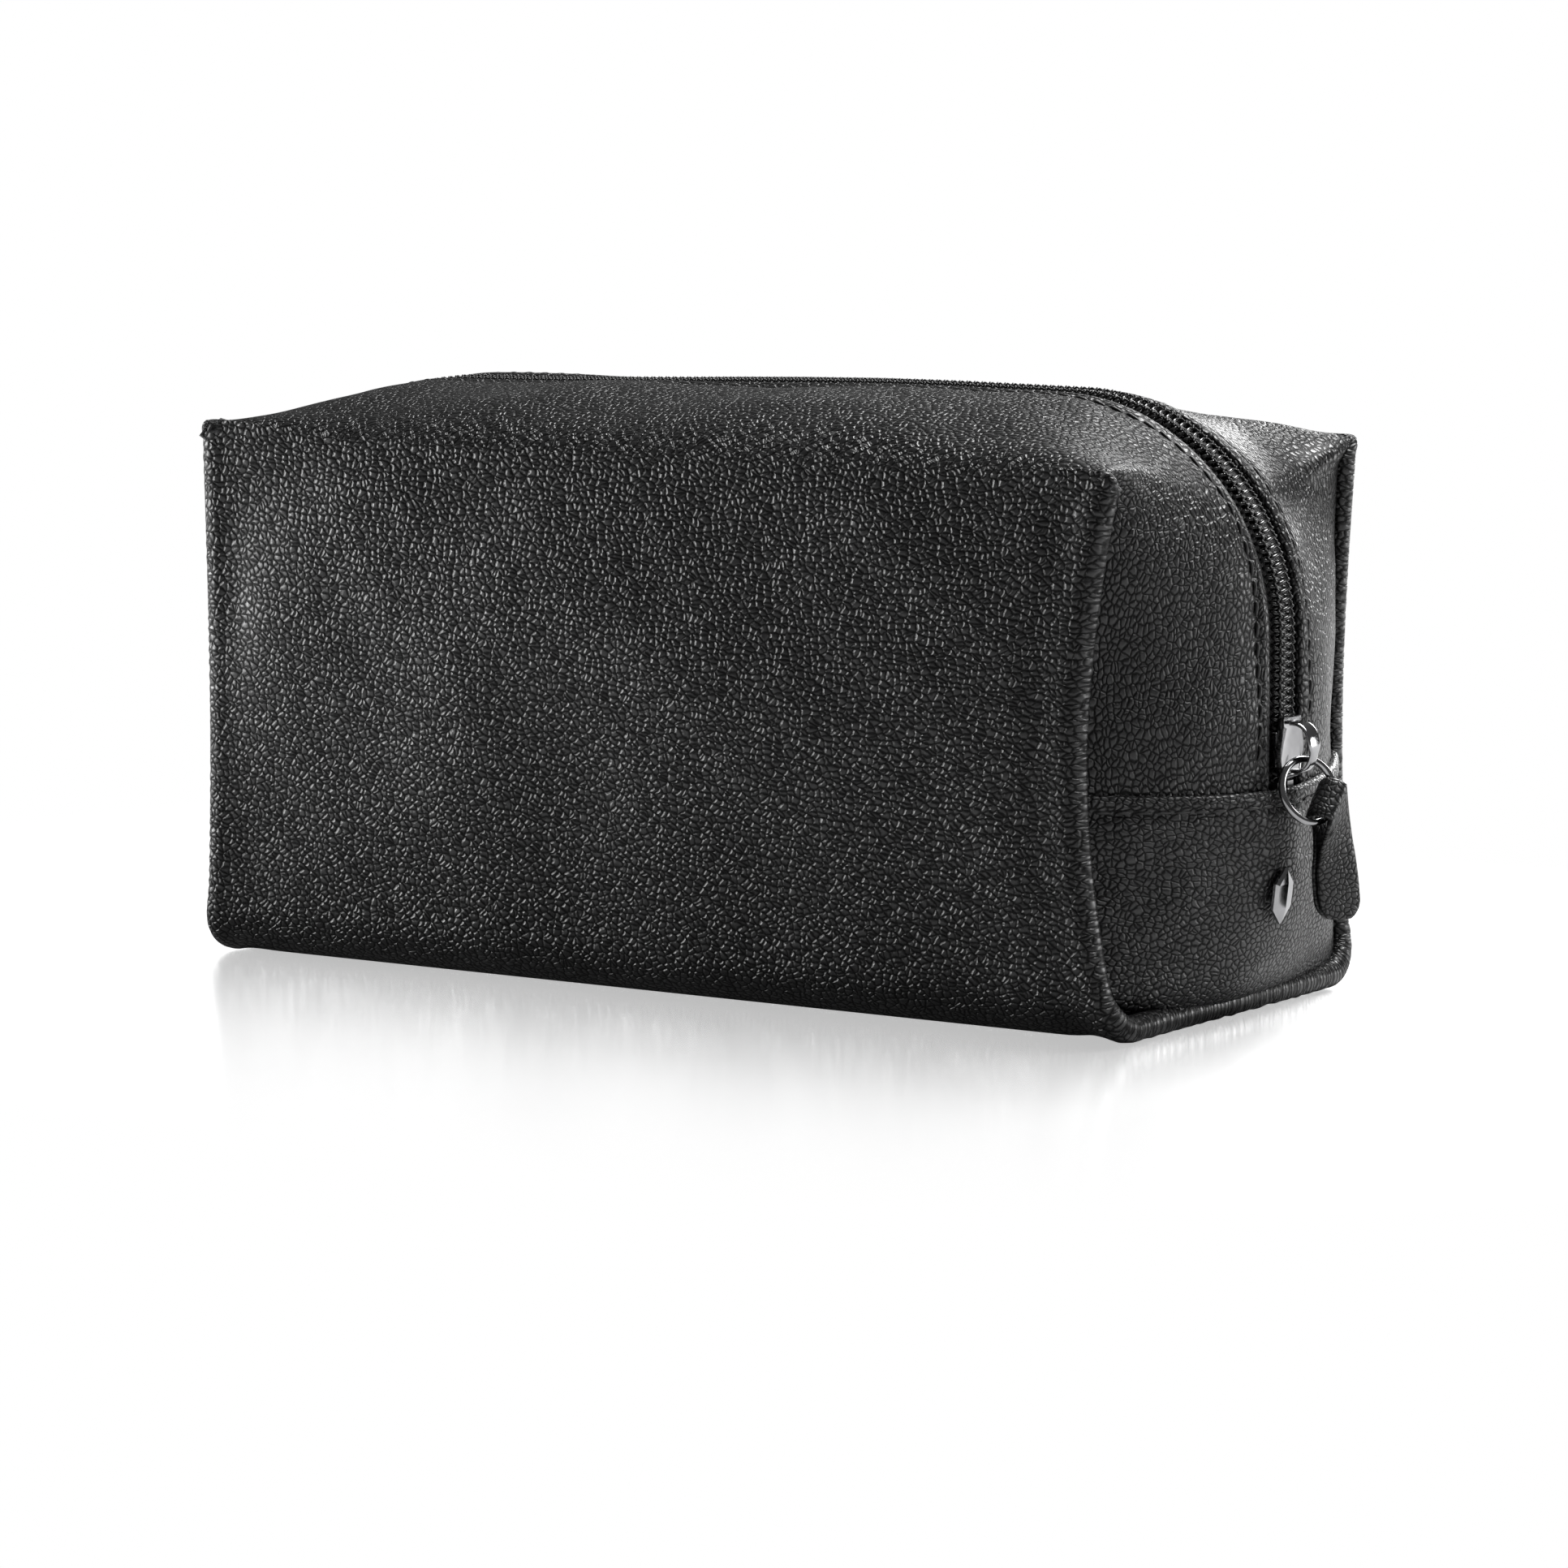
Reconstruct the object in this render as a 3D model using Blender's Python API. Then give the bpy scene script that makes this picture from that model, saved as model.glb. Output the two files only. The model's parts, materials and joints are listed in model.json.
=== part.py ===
"""Makeup bag: a boxy pebbled-leather pouch with a zip over its top and down both ends.

The leather body is one wrap (front, base and back) with bulged end panels sewn inside its
end edges, so the wrap's edges stand proud of the ends. The upper leather folds over from the
front and the back to the zip. It is modelled as a hinged flap in the middle of each half and
as fixed shoulders that run over the corners and down the ends beside the zip.

Frame: origin at the centre of the base, +X along the bag towards the end where the zip
closes, +Y towards the back, +Z up. Units are metres.
"""

import math

import bmesh
import bpy
from mathutils import Vector

MM = 0.001
GAP = 0.3 * MM  # clearance between neighbouring pieces

# Leather wrap
HALF_LENGTH = 98.5 * MM
HALF_DEPTH = 44 * MM
FOLD_Z = 98.5 * MM  # height of the fold lines along the top of the front and the back
WRAP_TOP_Z = FOLD_Z - 0.9 * MM  # leaves room for the flaps' inner edges
BASE_RADIUS = 9 * MM
WRAP_BULGE = 5 * MM  # how far the front and back swell between their edges
SWELL_ACROSS_POWER = 0.6  # below 1 keeps the swell full towards the edges
SWELL_UP_POWER = 0.8
END_DRAW_IN = 4.5 * MM  # how far the wrap's end edges pull in at mid height

# Material thicknesses
LEATHER = 1.6 * MM
PADDING = 2.0 * MM
LINING = 0.6 * MM
TAPE = 0.6 * MM
BOARD = 1.4 * MM

# Extents of the inner layers
BOARD_HALF_LENGTH = 90 * MM
BOARD_EDGE = 2 * MM  # between the board and the start of the rounded lower edges
PADDING_TOP_Z = 94 * MM
PADDING_BASE_Z = 12 * MM
LINING_TOP_Z = 95 * MM
END_PADDING_TOP_Z = 35 * MM
END_PADDING_BASE_Z = 9 * MM
UPPER_LINING_GAP = 0.5 * MM  # between the zip tape and the lining of the upper leather
INNER_SHARE = 0.9  # length of the padding and the lining, as a share of the wrap's
BINDING_SHARES = (0.86, 0.895)  # inner and outer edge of the seam bindings, likewise
INNER_FIRST_ANGLE = math.radians(25)  # where inner layers start round the arch, clear of the seam

# Ends and zip line
SEAM_INSET = 3 * MM  # how far inside the wrap's end edge the end leather is sewn
FLAP_HALF_LENGTH = 62 * MM
ZIP_EDGE_Y = 5 * MM  # folded leather edge beside the zip
CORNER_RADIUS = 42.2 * MM  # of the zip line, where it turns down over each end
CORNER_X = 66.5 * MM
CORNER_Z = 68.5 * MM
TOP_Z = CORNER_Z + CORNER_RADIUS
END_X = CORNER_X + CORNER_RADIUS
TUCK_START_X = 0.8 * HALF_LENGTH  # from here the upper leather draws inside the wrap
CORNER_STEPS = 5  # stations on each side of the corner's mitre

# Lower end panels, which overlap the ends of the zip
PANEL_TOP_Z = 42.5 * MM
PANEL_BASE_Z = 2.2 * MM
PANEL_TOP_X = END_X + LEATHER + GAP
PANEL_BASE_X = 97 * MM

# Zip
TAPE_DEPTH = LEATHER + GAP
TAPE_INNER_Y = 0.75 * MM
TAPE_OUTER_Y = 13 * MM
TAPE_END_Z = 37 * MM
COIL_DEPTH = 0.2 * MM
COIL_OUTER_Y = 2.9 * MM
STOP_BASE_Z = 40.5 * MM
STOP_TOP_Z = 42.7 * MM

# Slider, ring and pull
SLIDER_Z = 43.6 * MM
SLIDER_LENGTH = 10.9 * MM
SLIDER_HALF_WIDTH = 4.3 * MM
SLIDER_PLATE = 1.4 * MM
SLIDER_CLOSED_END_SHARE = 0.62  # widths of the plate's plan, as shares of its full width
SLIDER_SHOULDER_SHARE = 0.94
SLIDER_TAPER_SHARE = 0.86
SLIDER_JOINED_END_SHARE = 0.66
SLIDER_SHOULDER_RISE = 1.2 * MM  # heights of those widths above the closed end
SLIDER_FULL_WIDTH_RISE = 4 * MM
SLIDER_TAPER_DROP = 1.6 * MM  # below the joined end
SLIDER_LOWER_PLATE = 1 * MM
SLIDER_LOWER_HALF_WIDTH = 3.6 * MM
NECK_LENGTH = 3.1 * MM  # of the wedge that parts the coil halves
FLANGE_START = 2 * MM  # from the slider's closed end
FLANGE_END = 8.4 * MM
FLANGE_OUTER_Y = 0.98 * SLIDER_HALF_WIDTH
JOIN_OVERLAP = 0.2 * MM  # how far pieces of the slider run into one another
CROWN_WIDTH = 2.6 * MM
CROWN_THICKNESS = 0.8 * MM
CROWN_HEIGHT = 4.3 * MM
CROWN_END_INSET = 0.7 * MM
CROWN_POWER = 0.6  # below 1 makes the arch squarer
RING_RADIUS = 5.8 * MM
RING_WIRE = 0.65 * MM
RING_YAW = math.radians(24)  # the ring hangs with its back side turned away from the bag
RING_TILT = math.radians(20)  # and its lower end leaning out over the end panel
RING_TOP = Vector((112, 0, 47)) * MM
PULL_ANGLE = math.radians(52)  # where the pull's loop sits, round the ring from its lowest point
PULL_LOOP_CENTRE = 4.85 * MM  # from the ring's centre, so the wire's bend fits in the loop
PULL_LOOP_RADIUS = 2.65 * MM
PULL_LOOP_HALF_WIDTH = 4 * MM
PULL_TIP_HALF_WIDTH = 4.5 * MM
PULL_HANG = Vector((1.9, 3.0, -20.5)) * MM  # from the loop's centre to the middle of the tip
PULL_LEATHER = 1.1 * MM
PULL_LAYER_GAP = 0.4 * MM
PULL_TURN_RATE = 1.6  # the strip has turned to hang flat at 1 / rate of the way down
PULL_SPREAD_RATE = 1.4  # and has its full width at 1 / rate of the way down
PULL_SPREAD_POWER = 0.8
PULL_LOOP_SHARE = 0.4  # where the loop's two layers have closed
PULL_LOOP_POWER = 1.5
PULL_TIP_START = 0.82  # where the rounded tip starts
PULL_TIP_RATE = 3.8
PULL_ROW_SHARES = (1, 0.96, 0.9, 0.8, 0.65, 0.5, 0.35, 0.2, 0.08)  # from the tip to the loop

# Badge on the end panel
BADGE_Y = -4 * MM
BADGE_Z = 23 * MM
BADGE_HALF_HEIGHT = 5.2 * MM
BADGE_HALF_WIDTH = 3.2 * MM
BADGE_THICKNESS = 1.3 * MM
BADGE_SIDE_SHARE = 0.45  # half-length of its straight sides, as a share of its half-height
WASHER_RADIUS = 3 * MM
WASHER_THICKNESS = 0.5 * MM
WASHER_SIDES = 16

BAG_CENTRE = Vector((0, 0, 50 * MM))
SIDES = {"front": -1, "back": 1}
ENDS = {"right": 1, "left": -1}


# ---------------------------------------------------------------- materials


def material(name, colour, roughness, metallic=0.0):
    """Plain Principled material of one part."""
    made = bpy.data.materials.new(name)
    made.use_nodes = True
    shader = made.node_tree.nodes["Principled BSDF"]
    shader.inputs["Base Color"].default_value = (*colour, 1)
    shader.inputs["Roughness"].default_value = roughness
    shader.inputs["Metallic"].default_value = metallic
    made.diffuse_color = (*colour, 1)
    return made


FINISHES = {
    "leather": ((0.012, 0.012, 0.013), 0.38, 0.0),
    "padding": ((0.32, 0.31, 0.29), 0.9, 0.0),
    "lining": ((0.03, 0.03, 0.033), 0.75, 0.0),
    "binding": ((0.02, 0.02, 0.02), 0.7, 0.0),
    "board": ((0.3, 0.24, 0.17), 0.85, 0.0),
    "tape": ((0.014, 0.014, 0.015), 0.8, 0.0),
    "coil": ((0.01, 0.01, 0.011), 0.35, 0.0),
    "metal": ((0.19, 0.19, 0.2), 0.22, 1.0),
}


# ---------------------------------------------------------------- building blocks


def spread(start, end, steps):
    """Evenly spaced values from start to end, both included."""
    return [start + (end - start) * i / steps for i in range(steps + 1)]


def clamp(value):
    return min(max(value, 0.0), 1.0)


def pivot(name, position, parent=None):
    """Empty on a joint's axis. What moves with the joint is placed under it."""
    empty = bpy.data.objects.new(name, None)
    empty.empty_display_size = 5 * MM
    bpy.context.scene.collection.objects.link(empty)
    empty.location = Vector(position) - world_position(parent)
    empty.parent = parent
    return empty


def world_position(empty):
    total = Vector()
    while empty is not None:
        total += empty.location
        empty = empty.parent
    return total


def add_part(name, finish, form, under=None):
    """Turns a closed bmesh in world coordinates into the named part, under its pivot."""
    bmesh.ops.recalc_face_normals(form, faces=form.faces)
    bmesh.ops.translate(form, verts=form.verts, vec=-world_position(under))
    mesh = bpy.data.meshes.new(name)
    form.to_mesh(mesh)
    form.free()
    mesh.shade_smooth()
    mesh.set_sharp_from_angle(angle=math.radians(35))
    mesh.materials.append(material(name, *FINISHES[finish]))
    part = bpy.data.objects.new(name, mesh)
    bpy.context.scene.collection.objects.link(part)
    part.parent = under
    return part


def surface_normals(grid):
    """Unit normals of a grid of points, on the side that faces away from the bag's centre."""
    last_row, last_column = len(grid) - 1, len(grid[0]) - 1

    def normal(i, j):
        along = grid[min(i + 1, last_row)][j] - grid[max(i - 1, 0)][j]
        across = grid[i][min(j + 1, last_column)] - grid[i][max(j - 1, 0)]
        return along.cross(across).normalized()

    middle_row, middle_column = (last_row + 1) // 2, (last_column + 1) // 2
    outwards = grid[middle_row][middle_column] - BAG_CENTRE
    side = 1 if normal(middle_row, middle_column).dot(outwards) > 0 else -1
    return [[side * normal(i, j) for j in range(last_column + 1)] for i in range(last_row + 1)]


def sheet(grid, outer_depth, inner_depth):
    """Closed sheet of material between two depths under a grid of surface points."""
    normals = surface_normals(grid)
    form = bmesh.new()
    outer, inner = (
        [
            [form.verts.new(p - n * depth) for p, n in zip(points, row, strict=True)]
            for points, row in zip(grid, normals, strict=True)
        ]
        for depth in (outer_depth, inner_depth)
    )
    rows, columns = len(grid), len(grid[0])
    for i in range(rows - 1):
        for j in range(columns - 1):
            for layer in (outer, inner):
                form.faces.new((layer[i][j], layer[i + 1][j], layer[i + 1][j + 1], layer[i][j + 1]))
    rim = [(i, 0) for i in range(rows)] + [(rows - 1, j) for j in range(1, columns)]
    rim += [(i, columns - 1) for i in range(rows - 2, -1, -1)]
    rim += [(0, j) for j in range(columns - 2, 0, -1)]
    for (a, b), (c, d) in zip(rim, rim[1:] + rim[:1], strict=True):
        form.faces.new((outer[a][b], outer[c][d], inner[c][d], inner[a][b]))
    return form


def prism(outline, offset):
    """Solid swept straight from a flat outline of points by an offset vector."""
    form = bmesh.new()
    near = [form.verts.new(p) for p in outline]
    far = [form.verts.new(p + offset) for p in outline]
    form.faces.new(near)
    form.faces.new(far)
    for i in range(len(outline)):
        k = (i + 1) % len(outline)
        form.faces.new((near[i], near[k], far[k], far[i]))
    return form


def box(low, high):
    (x0, y0, z0), (x1, y1, z1) = low, high
    outline = [Vector(p) for p in ((x0, y0, z0), (x1, y0, z0), (x1, y1, z0), (x0, y1, z0))]
    return prism(outline, Vector((0, 0, z1 - z0)))


def fuse(part, forms, under):
    """Unites further closed forms with a part."""
    for number, form in enumerate(forms):
        tool = add_part(f"{part.name}_piece_{number}", "metal", form, under)
        tool.display_type = "WIRE"
        tool.hide_render = True
        union = part.modifiers.new("union", "BOOLEAN")
        union.operation = "UNION"
        union.object = tool


# ---------------------------------------------------------------- surfaces of the bag


def wrap_end(z):
    """Half-length of the wrap at a height: its end edges pull in between top and base."""
    return HALF_LENGTH - END_DRAW_IN * math.sin(math.pi * clamp(z / FOLD_Z))


def wrap_section(top_z, side_steps, arc_steps, base_steps):
    """(y, z) down the front, round its lower edge, over the base and up the back."""
    flat = HALF_DEPTH - BASE_RADIUS
    front = [(-HALF_DEPTH, z) for z in spread(top_z, BASE_RADIUS, side_steps)]
    for angle in spread(0, math.pi / 2, arc_steps)[1:]:
        y = -flat - BASE_RADIUS * math.cos(angle)
        front.append((y, BASE_RADIUS * (1 - math.sin(angle))))
    front += [(y, 0.0) for y in spread(-flat, 0, base_steps)[1:]]
    return front + [(-y, z) for y, z in reversed(front[:-1])]


def wrap_point(u, y, z):
    """Point of the wrap's outer surface; u runs from -1 to 1 between its end edges."""
    flat = HALF_DEPTH - BASE_RADIUS
    on_side = clamp((abs(y) - flat) / BASE_RADIUS)
    across = max(math.cos(math.pi / 2 * u), 0.0) ** SWELL_ACROSS_POWER
    up = max(math.sin(math.pi * z / FOLD_Z), 0.0) ** SWELL_UP_POWER
    swell = WRAP_BULGE * across * up * on_side
    return Vector((u * wrap_end(z), y + math.copysign(swell, y), z))


def wrap_grid(section, columns):
    return [[wrap_point(u, y, z) for u in columns] for y, z in section]


def end_half_depth(z):
    """Half-width of an end at a height, just inside the wrap and its rounded lower edges."""
    flat = HALF_DEPTH - BASE_RADIUS
    radius = BASE_RADIUS - LEATHER - GAP
    below = max(BASE_RADIUS - z, 0.0)
    return flat + math.sqrt(max(radius**2 - below**2, 0.0))


def end_edge(z):
    """Where the end leather meets the wrap at a height."""
    return Vector((wrap_end(z) - SEAM_INSET, end_half_depth(z), z))


def corner_ridge(angle):
    """Point of the zip's leather edge on the rounded corner; angle 0 is the end, 90 the top."""
    x = CORNER_X + CORNER_RADIUS * math.cos(angle)
    return Vector((x, ZIP_EDGE_Y, CORNER_Z + CORNER_RADIUS * math.sin(angle)))


def flap_stations():
    """(edge, ridge) pairs along the middle of the top, over both flaps' full length."""
    return [
        (Vector((x, HALF_DEPTH, FOLD_Z)), Vector((x, ZIP_EDGE_Y, TOP_Z)))
        for x in spread(-FLAP_HALF_LENGTH, FLAP_HALF_LENGTH, 8)
    ]


def shoulder_stations(base_z):
    """(edge, ridge) pairs from beside the flap, over the corner and down the end to base_z."""
    mitre = math.asin((FOLD_Z - CORNER_Z) / CORNER_RADIUS)
    start = FLAP_HALF_LENGTH + GAP
    ridges = [Vector((start, ZIP_EDGE_Y, TOP_Z))]
    ridges += [corner_ridge(angle) for angle in spread(math.pi / 2, mitre, CORNER_STEPS)]
    reach = (end_edge(FOLD_Z).x - start) / (ridges[-1].x - start)
    stations = []
    for ridge in ridges:
        x = start + (ridge.x - start) * reach
        tuck = clamp((x - TUCK_START_X) / (end_edge(FOLD_Z).x - TUCK_START_X))
        y = HALF_DEPTH + (end_half_depth(FOLD_Z) - HALF_DEPTH) * tuck
        stations.append((Vector((x, y, FOLD_Z)), ridge))
    for angle in spread(mitre, 0, CORNER_STEPS)[1:]:
        ridge = corner_ridge(angle)
        stations.append((end_edge(ridge.z), ridge))
    for z in spread(CORNER_Z, base_z, 3)[1:]:
        stations.append((end_edge(z), Vector((END_X, ZIP_EDGE_Y, z))))
    return stations


def panel_stations(top_z, base_z, steps):
    """(edge, ridge) pairs down the lower end panel, whose ridge curves in to the base."""
    stations = []
    for share in spread(0, 1, steps):
        z = top_z + (base_z - top_z) * math.sin(share * math.pi / 2)
        down = clamp((PANEL_TOP_Z - z) / (PANEL_TOP_Z - PANEL_BASE_Z))
        x = PANEL_BASE_X + (PANEL_TOP_X - PANEL_BASE_X) * math.sqrt(1 - down**3)
        stations.append((end_edge(z), Vector((x, ZIP_EDGE_Y, z))))
    return stations


def arch_point(edge, ridge, y):
    """Point at a distance y from the middle, on the elliptical arch from edge to ridge."""
    share = clamp((edge.y - y) / (edge.y - ridge.y))
    rise = math.sqrt(1 - (1 - share) ** 2)
    return Vector((edge.x + (ridge.x - edge.x) * rise, y, edge.z + (ridge.z - edge.z) * rise))


def arch_row(edge, ridge, first_angle, steps):
    """Points from near the edge to the ridge, at even angles round the arch."""
    run = edge.y - ridge.y
    angles = spread(first_angle, math.pi / 2, steps)
    return [arch_point(edge, ridge, edge.y - run * (1 - math.cos(a))) for a in angles]


def place(grid, end, side):
    """Mirrors a grid of the back right quarter to the given end and side."""
    return [[Vector((end * p.x, side * p.y, p.z)) for p in row] for row in grid]


def leather_grid(stations, end, side, first_angle=0.0, steps=6):
    return place([arch_row(e, r, first_angle, steps) for e, r in stations], end, side)


def strip_grid(stations, end, side, distances):
    return place([[arch_point(e, r, y) for y in distances] for e, r in stations], end, side)


def full_width_grid(stations, end, first_angle=0.0, steps=6):
    """Grid over a whole end, from its front edge to its back edge."""
    rows = []
    for edge, ridge in stations:
        half = arch_row(edge, ridge, first_angle, steps)
        rows.append([Vector((p.x, -p.y, p.z)) for p in half] + half[::-1])
    return place(rows, end, 1)


# ---------------------------------------------------------------- parts


def make_wrap():
    """Leather wrap with its padding, base board, lining and seam bindings."""
    section = wrap_section(WRAP_TOP_Z, 7, 5, 2)
    add_part("body_wrap", "leather", sheet(wrap_grid(section, spread(-1, 1, 12)), 0, LEATHER))

    board_depth = LEATHER + GAP
    flat = HALF_DEPTH - BASE_RADIUS - BOARD_EDGE
    low = (-BOARD_HALF_LENGTH, -flat, board_depth)
    board = box(low, (BOARD_HALF_LENGTH, flat, board_depth + BOARD))
    add_part("base_board", "board", board)

    padding_depth = LEATHER + 2 * GAP
    inner_columns = spread(-INNER_SHARE, INNER_SHARE, 6)
    for side_name, side in SIDES.items():
        rows = [(side * HALF_DEPTH, z) for z in spread(PADDING_TOP_Z, PADDING_BASE_Z, 6)]
        padding = sheet(wrap_grid(rows, inner_columns), padding_depth, padding_depth + PADDING)
        add_part(f"{side_name}_padding", "padding", padding)

    lining_depth = padding_depth + PADDING + 2 * GAP
    section = wrap_section(LINING_TOP_Z, 6, 3, 1)
    lining = sheet(wrap_grid(section, inner_columns), lining_depth, lining_depth + LINING)
    add_part("body_lining", "lining", lining)

    binding_depth = lining_depth + LINING + GAP
    for end_name, end in ENDS.items():
        columns = [end * u for u in BINDING_SHARES]
        binding = sheet(wrap_grid(section, columns), binding_depth, binding_depth + LINING)
        add_part(f"seam_binding_{end_name}", "binding", binding)


def make_flaps(hinges):
    """Middle of the top: two leather flaps with their lining, zip tape and coil."""
    stations = flap_stations()
    lining_depth = TAPE_DEPTH + TAPE + UPPER_LINING_GAP
    for side_name, side in SIDES.items():
        hinge = hinges[side_name]
        leather = sheet(leather_grid(stations, 1, side), 0, LEATHER)
        add_part(f"top_flap_{side_name}", "leather", leather, hinge)
        grid = leather_grid(stations[::2], 1, side, INNER_FIRST_ANGLE, 3)
        lining = sheet(grid, lining_depth, lining_depth + LINING)
        add_part(f"flap_lining_{side_name}", "lining", lining, hinge)
        make_zip_side("top", side_name, stations, stations, 1, side, hinge)


def make_zip_side(place_name, side_name, tape_stations, coil_stations, end, side, under=None):
    """One side's stretch of zip tape, with its half of the coil."""
    tape = strip_grid(tape_stations, end, side, (TAPE_INNER_Y, ZIP_EDGE_Y, TAPE_OUTER_Y))
    tape = sheet(tape, TAPE_DEPTH, TAPE_DEPTH + TAPE)
    add_part(f"zip_tape_{side_name}_{place_name}", "tape", tape, under)
    coil = strip_grid(coil_stations, end, side, (TAPE_INNER_Y, COIL_OUTER_Y))
    coil = sheet(coil, COIL_DEPTH, TAPE_DEPTH - GAP)
    add_part(f"zip_coil_{side_name}_{place_name}", "coil", coil, under)


def make_shoulders():
    """Fixed upper leather at each corner and beside the zip on the ends, with its lining."""
    lining_depth = TAPE_DEPTH + TAPE + UPPER_LINING_GAP
    leather_stations = shoulder_stations(PANEL_TOP_Z + GAP)
    tape_stations = shoulder_stations(TAPE_END_Z)
    coil_stations = shoulder_stations(STOP_TOP_Z + GAP)
    for end_name, end in ENDS.items():
        for side_name, side in SIDES.items():
            leather = sheet(leather_grid(leather_stations, end, side), 0, LEATHER)
            add_part(f"shoulder_{side_name}_{end_name}", "leather", leather)
            grid = leather_grid(tape_stations, end, side, INNER_FIRST_ANGLE, 3)
            lining = sheet(grid, lining_depth, lining_depth + LINING)
            add_part(f"shoulder_lining_{side_name}_{end_name}", "lining", lining)
            make_zip_side(end_name, side_name, tape_stations, coil_stations, end, side)


def make_end_panels():
    """Bulged lower end panels with padding and lining."""
    padding_depth = LEATHER + WASHER_THICKNESS + 2 * GAP
    lining_depth = padding_depth + PADDING + GAP
    for end_name, end in ENDS.items():
        stations = panel_stations(PANEL_TOP_Z, PANEL_BASE_Z, 7)
        leather = sheet(full_width_grid(stations, end), 0, LEATHER)
        add_part(f"end_panel_{end_name}", "leather", leather)
        stations = panel_stations(END_PADDING_TOP_Z, END_PADDING_BASE_Z, 4)
        grid = full_width_grid(stations, end, INNER_FIRST_ANGLE, 4)
        padding = sheet(grid, padding_depth, padding_depth + PADDING)
        add_part(f"end_padding_{end_name}", "padding", padding)
        lining = sheet(grid, lining_depth, lining_depth + LINING)
        add_part(f"end_lining_{end_name}", "lining", lining)


def make_stops():
    """Metal clips that end the coil: one on each side where it closes, one across the other end."""
    x_low, x_high = END_X - TAPE_DEPTH + GAP, END_X
    for side_name, side in SIDES.items():
        inner, outer = sorted((side * TAPE_INNER_Y, side * COIL_OUTER_Y))
        clip = box((x_low, inner, STOP_BASE_Z), (x_high, outer, STOP_TOP_Z))
        add_part(f"zip_top_stop_{side_name}", "metal", clip)
    low = (-x_high, -COIL_OUTER_Y, STOP_BASE_Z)
    add_part("zip_bottom_stop", "metal", box(low, (-x_low, COIL_OUTER_Y, STOP_TOP_Z)))


def slider_outline(half_width, x):
    """Plan of a slider plate: full width where the coil parts, narrower where it leaves joined."""
    low, high = SLIDER_Z, SLIDER_Z + SLIDER_LENGTH
    right = [
        (SLIDER_CLOSED_END_SHARE, low),
        (SLIDER_SHOULDER_SHARE, low + SLIDER_SHOULDER_RISE),
        (1, low + SLIDER_FULL_WIDTH_RISE),
        (SLIDER_TAPER_SHARE, high - SLIDER_TAPER_DROP),
        (SLIDER_JOINED_END_SHARE, high),
    ]
    points = [(half_width * share, z) for share, z in right]
    points += [(-y, z) for y, z in reversed(points)]
    return [Vector((x, y, z)) for y, z in points]


def make_slider(rail):
    """Two plates joined by a neck between the coil halves, flanges round the coil, and a crown."""
    plate_x = END_X - COIL_DEPTH + GAP
    top = prism(slider_outline(SLIDER_HALF_WIDTH, plate_x), Vector((SLIDER_PLATE, 0, 0)))
    body = add_part("slider_body", "metal", top, rail)
    under_x = END_X - TAPE_DEPTH - TAPE - GAP
    lower = prism(slider_outline(SLIDER_LOWER_HALF_WIDTH, under_x), Vector((-SLIDER_LOWER_PLATE, 0, 0)))
    neck_half = TAPE_INNER_Y - GAP
    neck_low = SLIDER_Z + GAP
    neck = box(
        (under_x - JOIN_OVERLAP, -neck_half, neck_low),
        (plate_x + JOIN_OVERLAP, neck_half, neck_low + NECK_LENGTH),
    )
    forms = [lower, neck]
    flange_low_x = END_X - TAPE_DEPTH + 2 * GAP
    for side in SIDES.values():
        inner, outer = sorted((side * (COIL_OUTER_Y + GAP), side * FLANGE_OUTER_Y))
        low = (flange_low_x, inner, SLIDER_Z + FLANGE_START)
        forms.append(box(low, (plate_x + JOIN_OVERLAP, outer, SLIDER_Z + FLANGE_END)))
    fuse(body, forms, rail)

    # The crown is a strap that arches over the plate and holds the ring.
    outside = plate_x + SLIDER_PLATE + GAP
    middle_z = SLIDER_Z + SLIDER_LENGTH / 2
    reach, height = SLIDER_LENGTH / 2 - CROWN_END_INSET, CROWN_HEIGHT
    arc = []
    for angle in spread(0, math.pi, 10):
        rise = math.sin(angle) ** CROWN_POWER
        arc.append((outside + height * rise, middle_z - reach * math.cos(angle)))
    half = CROWN_WIDTH / 2
    grid = [[Vector((x, y, z)) for y in (-half, half)] for x, z in arc]
    add_part("slider_crown", "metal", sheet(grid, 0, CROWN_THICKNESS), rail)


def ring_frame():
    """Ring's axis direction at its top wire, its hanging direction and its centre."""
    across = Vector((math.sin(RING_YAW), math.cos(RING_YAW), 0))
    outwards = Vector((math.cos(RING_YAW), -math.sin(RING_YAW), 0))
    down = outwards * math.sin(RING_TILT) - Vector((0, 0, math.cos(RING_TILT)))
    return across, down, RING_TOP + down * RING_RADIUS


def ring_point(angle, radius=RING_RADIUS):
    across, down, centre = ring_frame()
    return centre + (across * math.sin(angle) + down * math.cos(angle)) * radius


def make_ring(ring_pivot):
    """Round wire ring through the slider's crown."""
    across, down, centre = ring_frame()
    facing = across.cross(down)
    form = bmesh.new()
    turns, sides = 24, 8
    loops = []
    for i in range(turns):
        angle = 2 * math.pi * i / turns
        radial = across * math.sin(angle) + down * math.cos(angle)
        loop = []
        for k in range(sides):
            a = 2 * math.pi * k / sides
            offset = radial * math.cos(a) * RING_WIRE + facing * math.sin(a) * RING_WIRE
            loop.append(form.verts.new(centre + radial * RING_RADIUS + offset))
        loops.append(loop)
    for i in range(turns):
        for k in range(sides):
            a, b = loops[i], loops[(i + 1) % turns]
            m = (k + 1) % sides
            form.faces.new((a[k], a[m], b[m], b[k]))
    add_part("pull_ring", "metal", form, ring_pivot)


def pull_axis():
    """Direction of the ring's wire where the pull's loop holds it."""
    across, down, _ = ring_frame()
    return across * math.cos(PULL_ANGLE) - down * math.sin(PULL_ANGLE)


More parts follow.
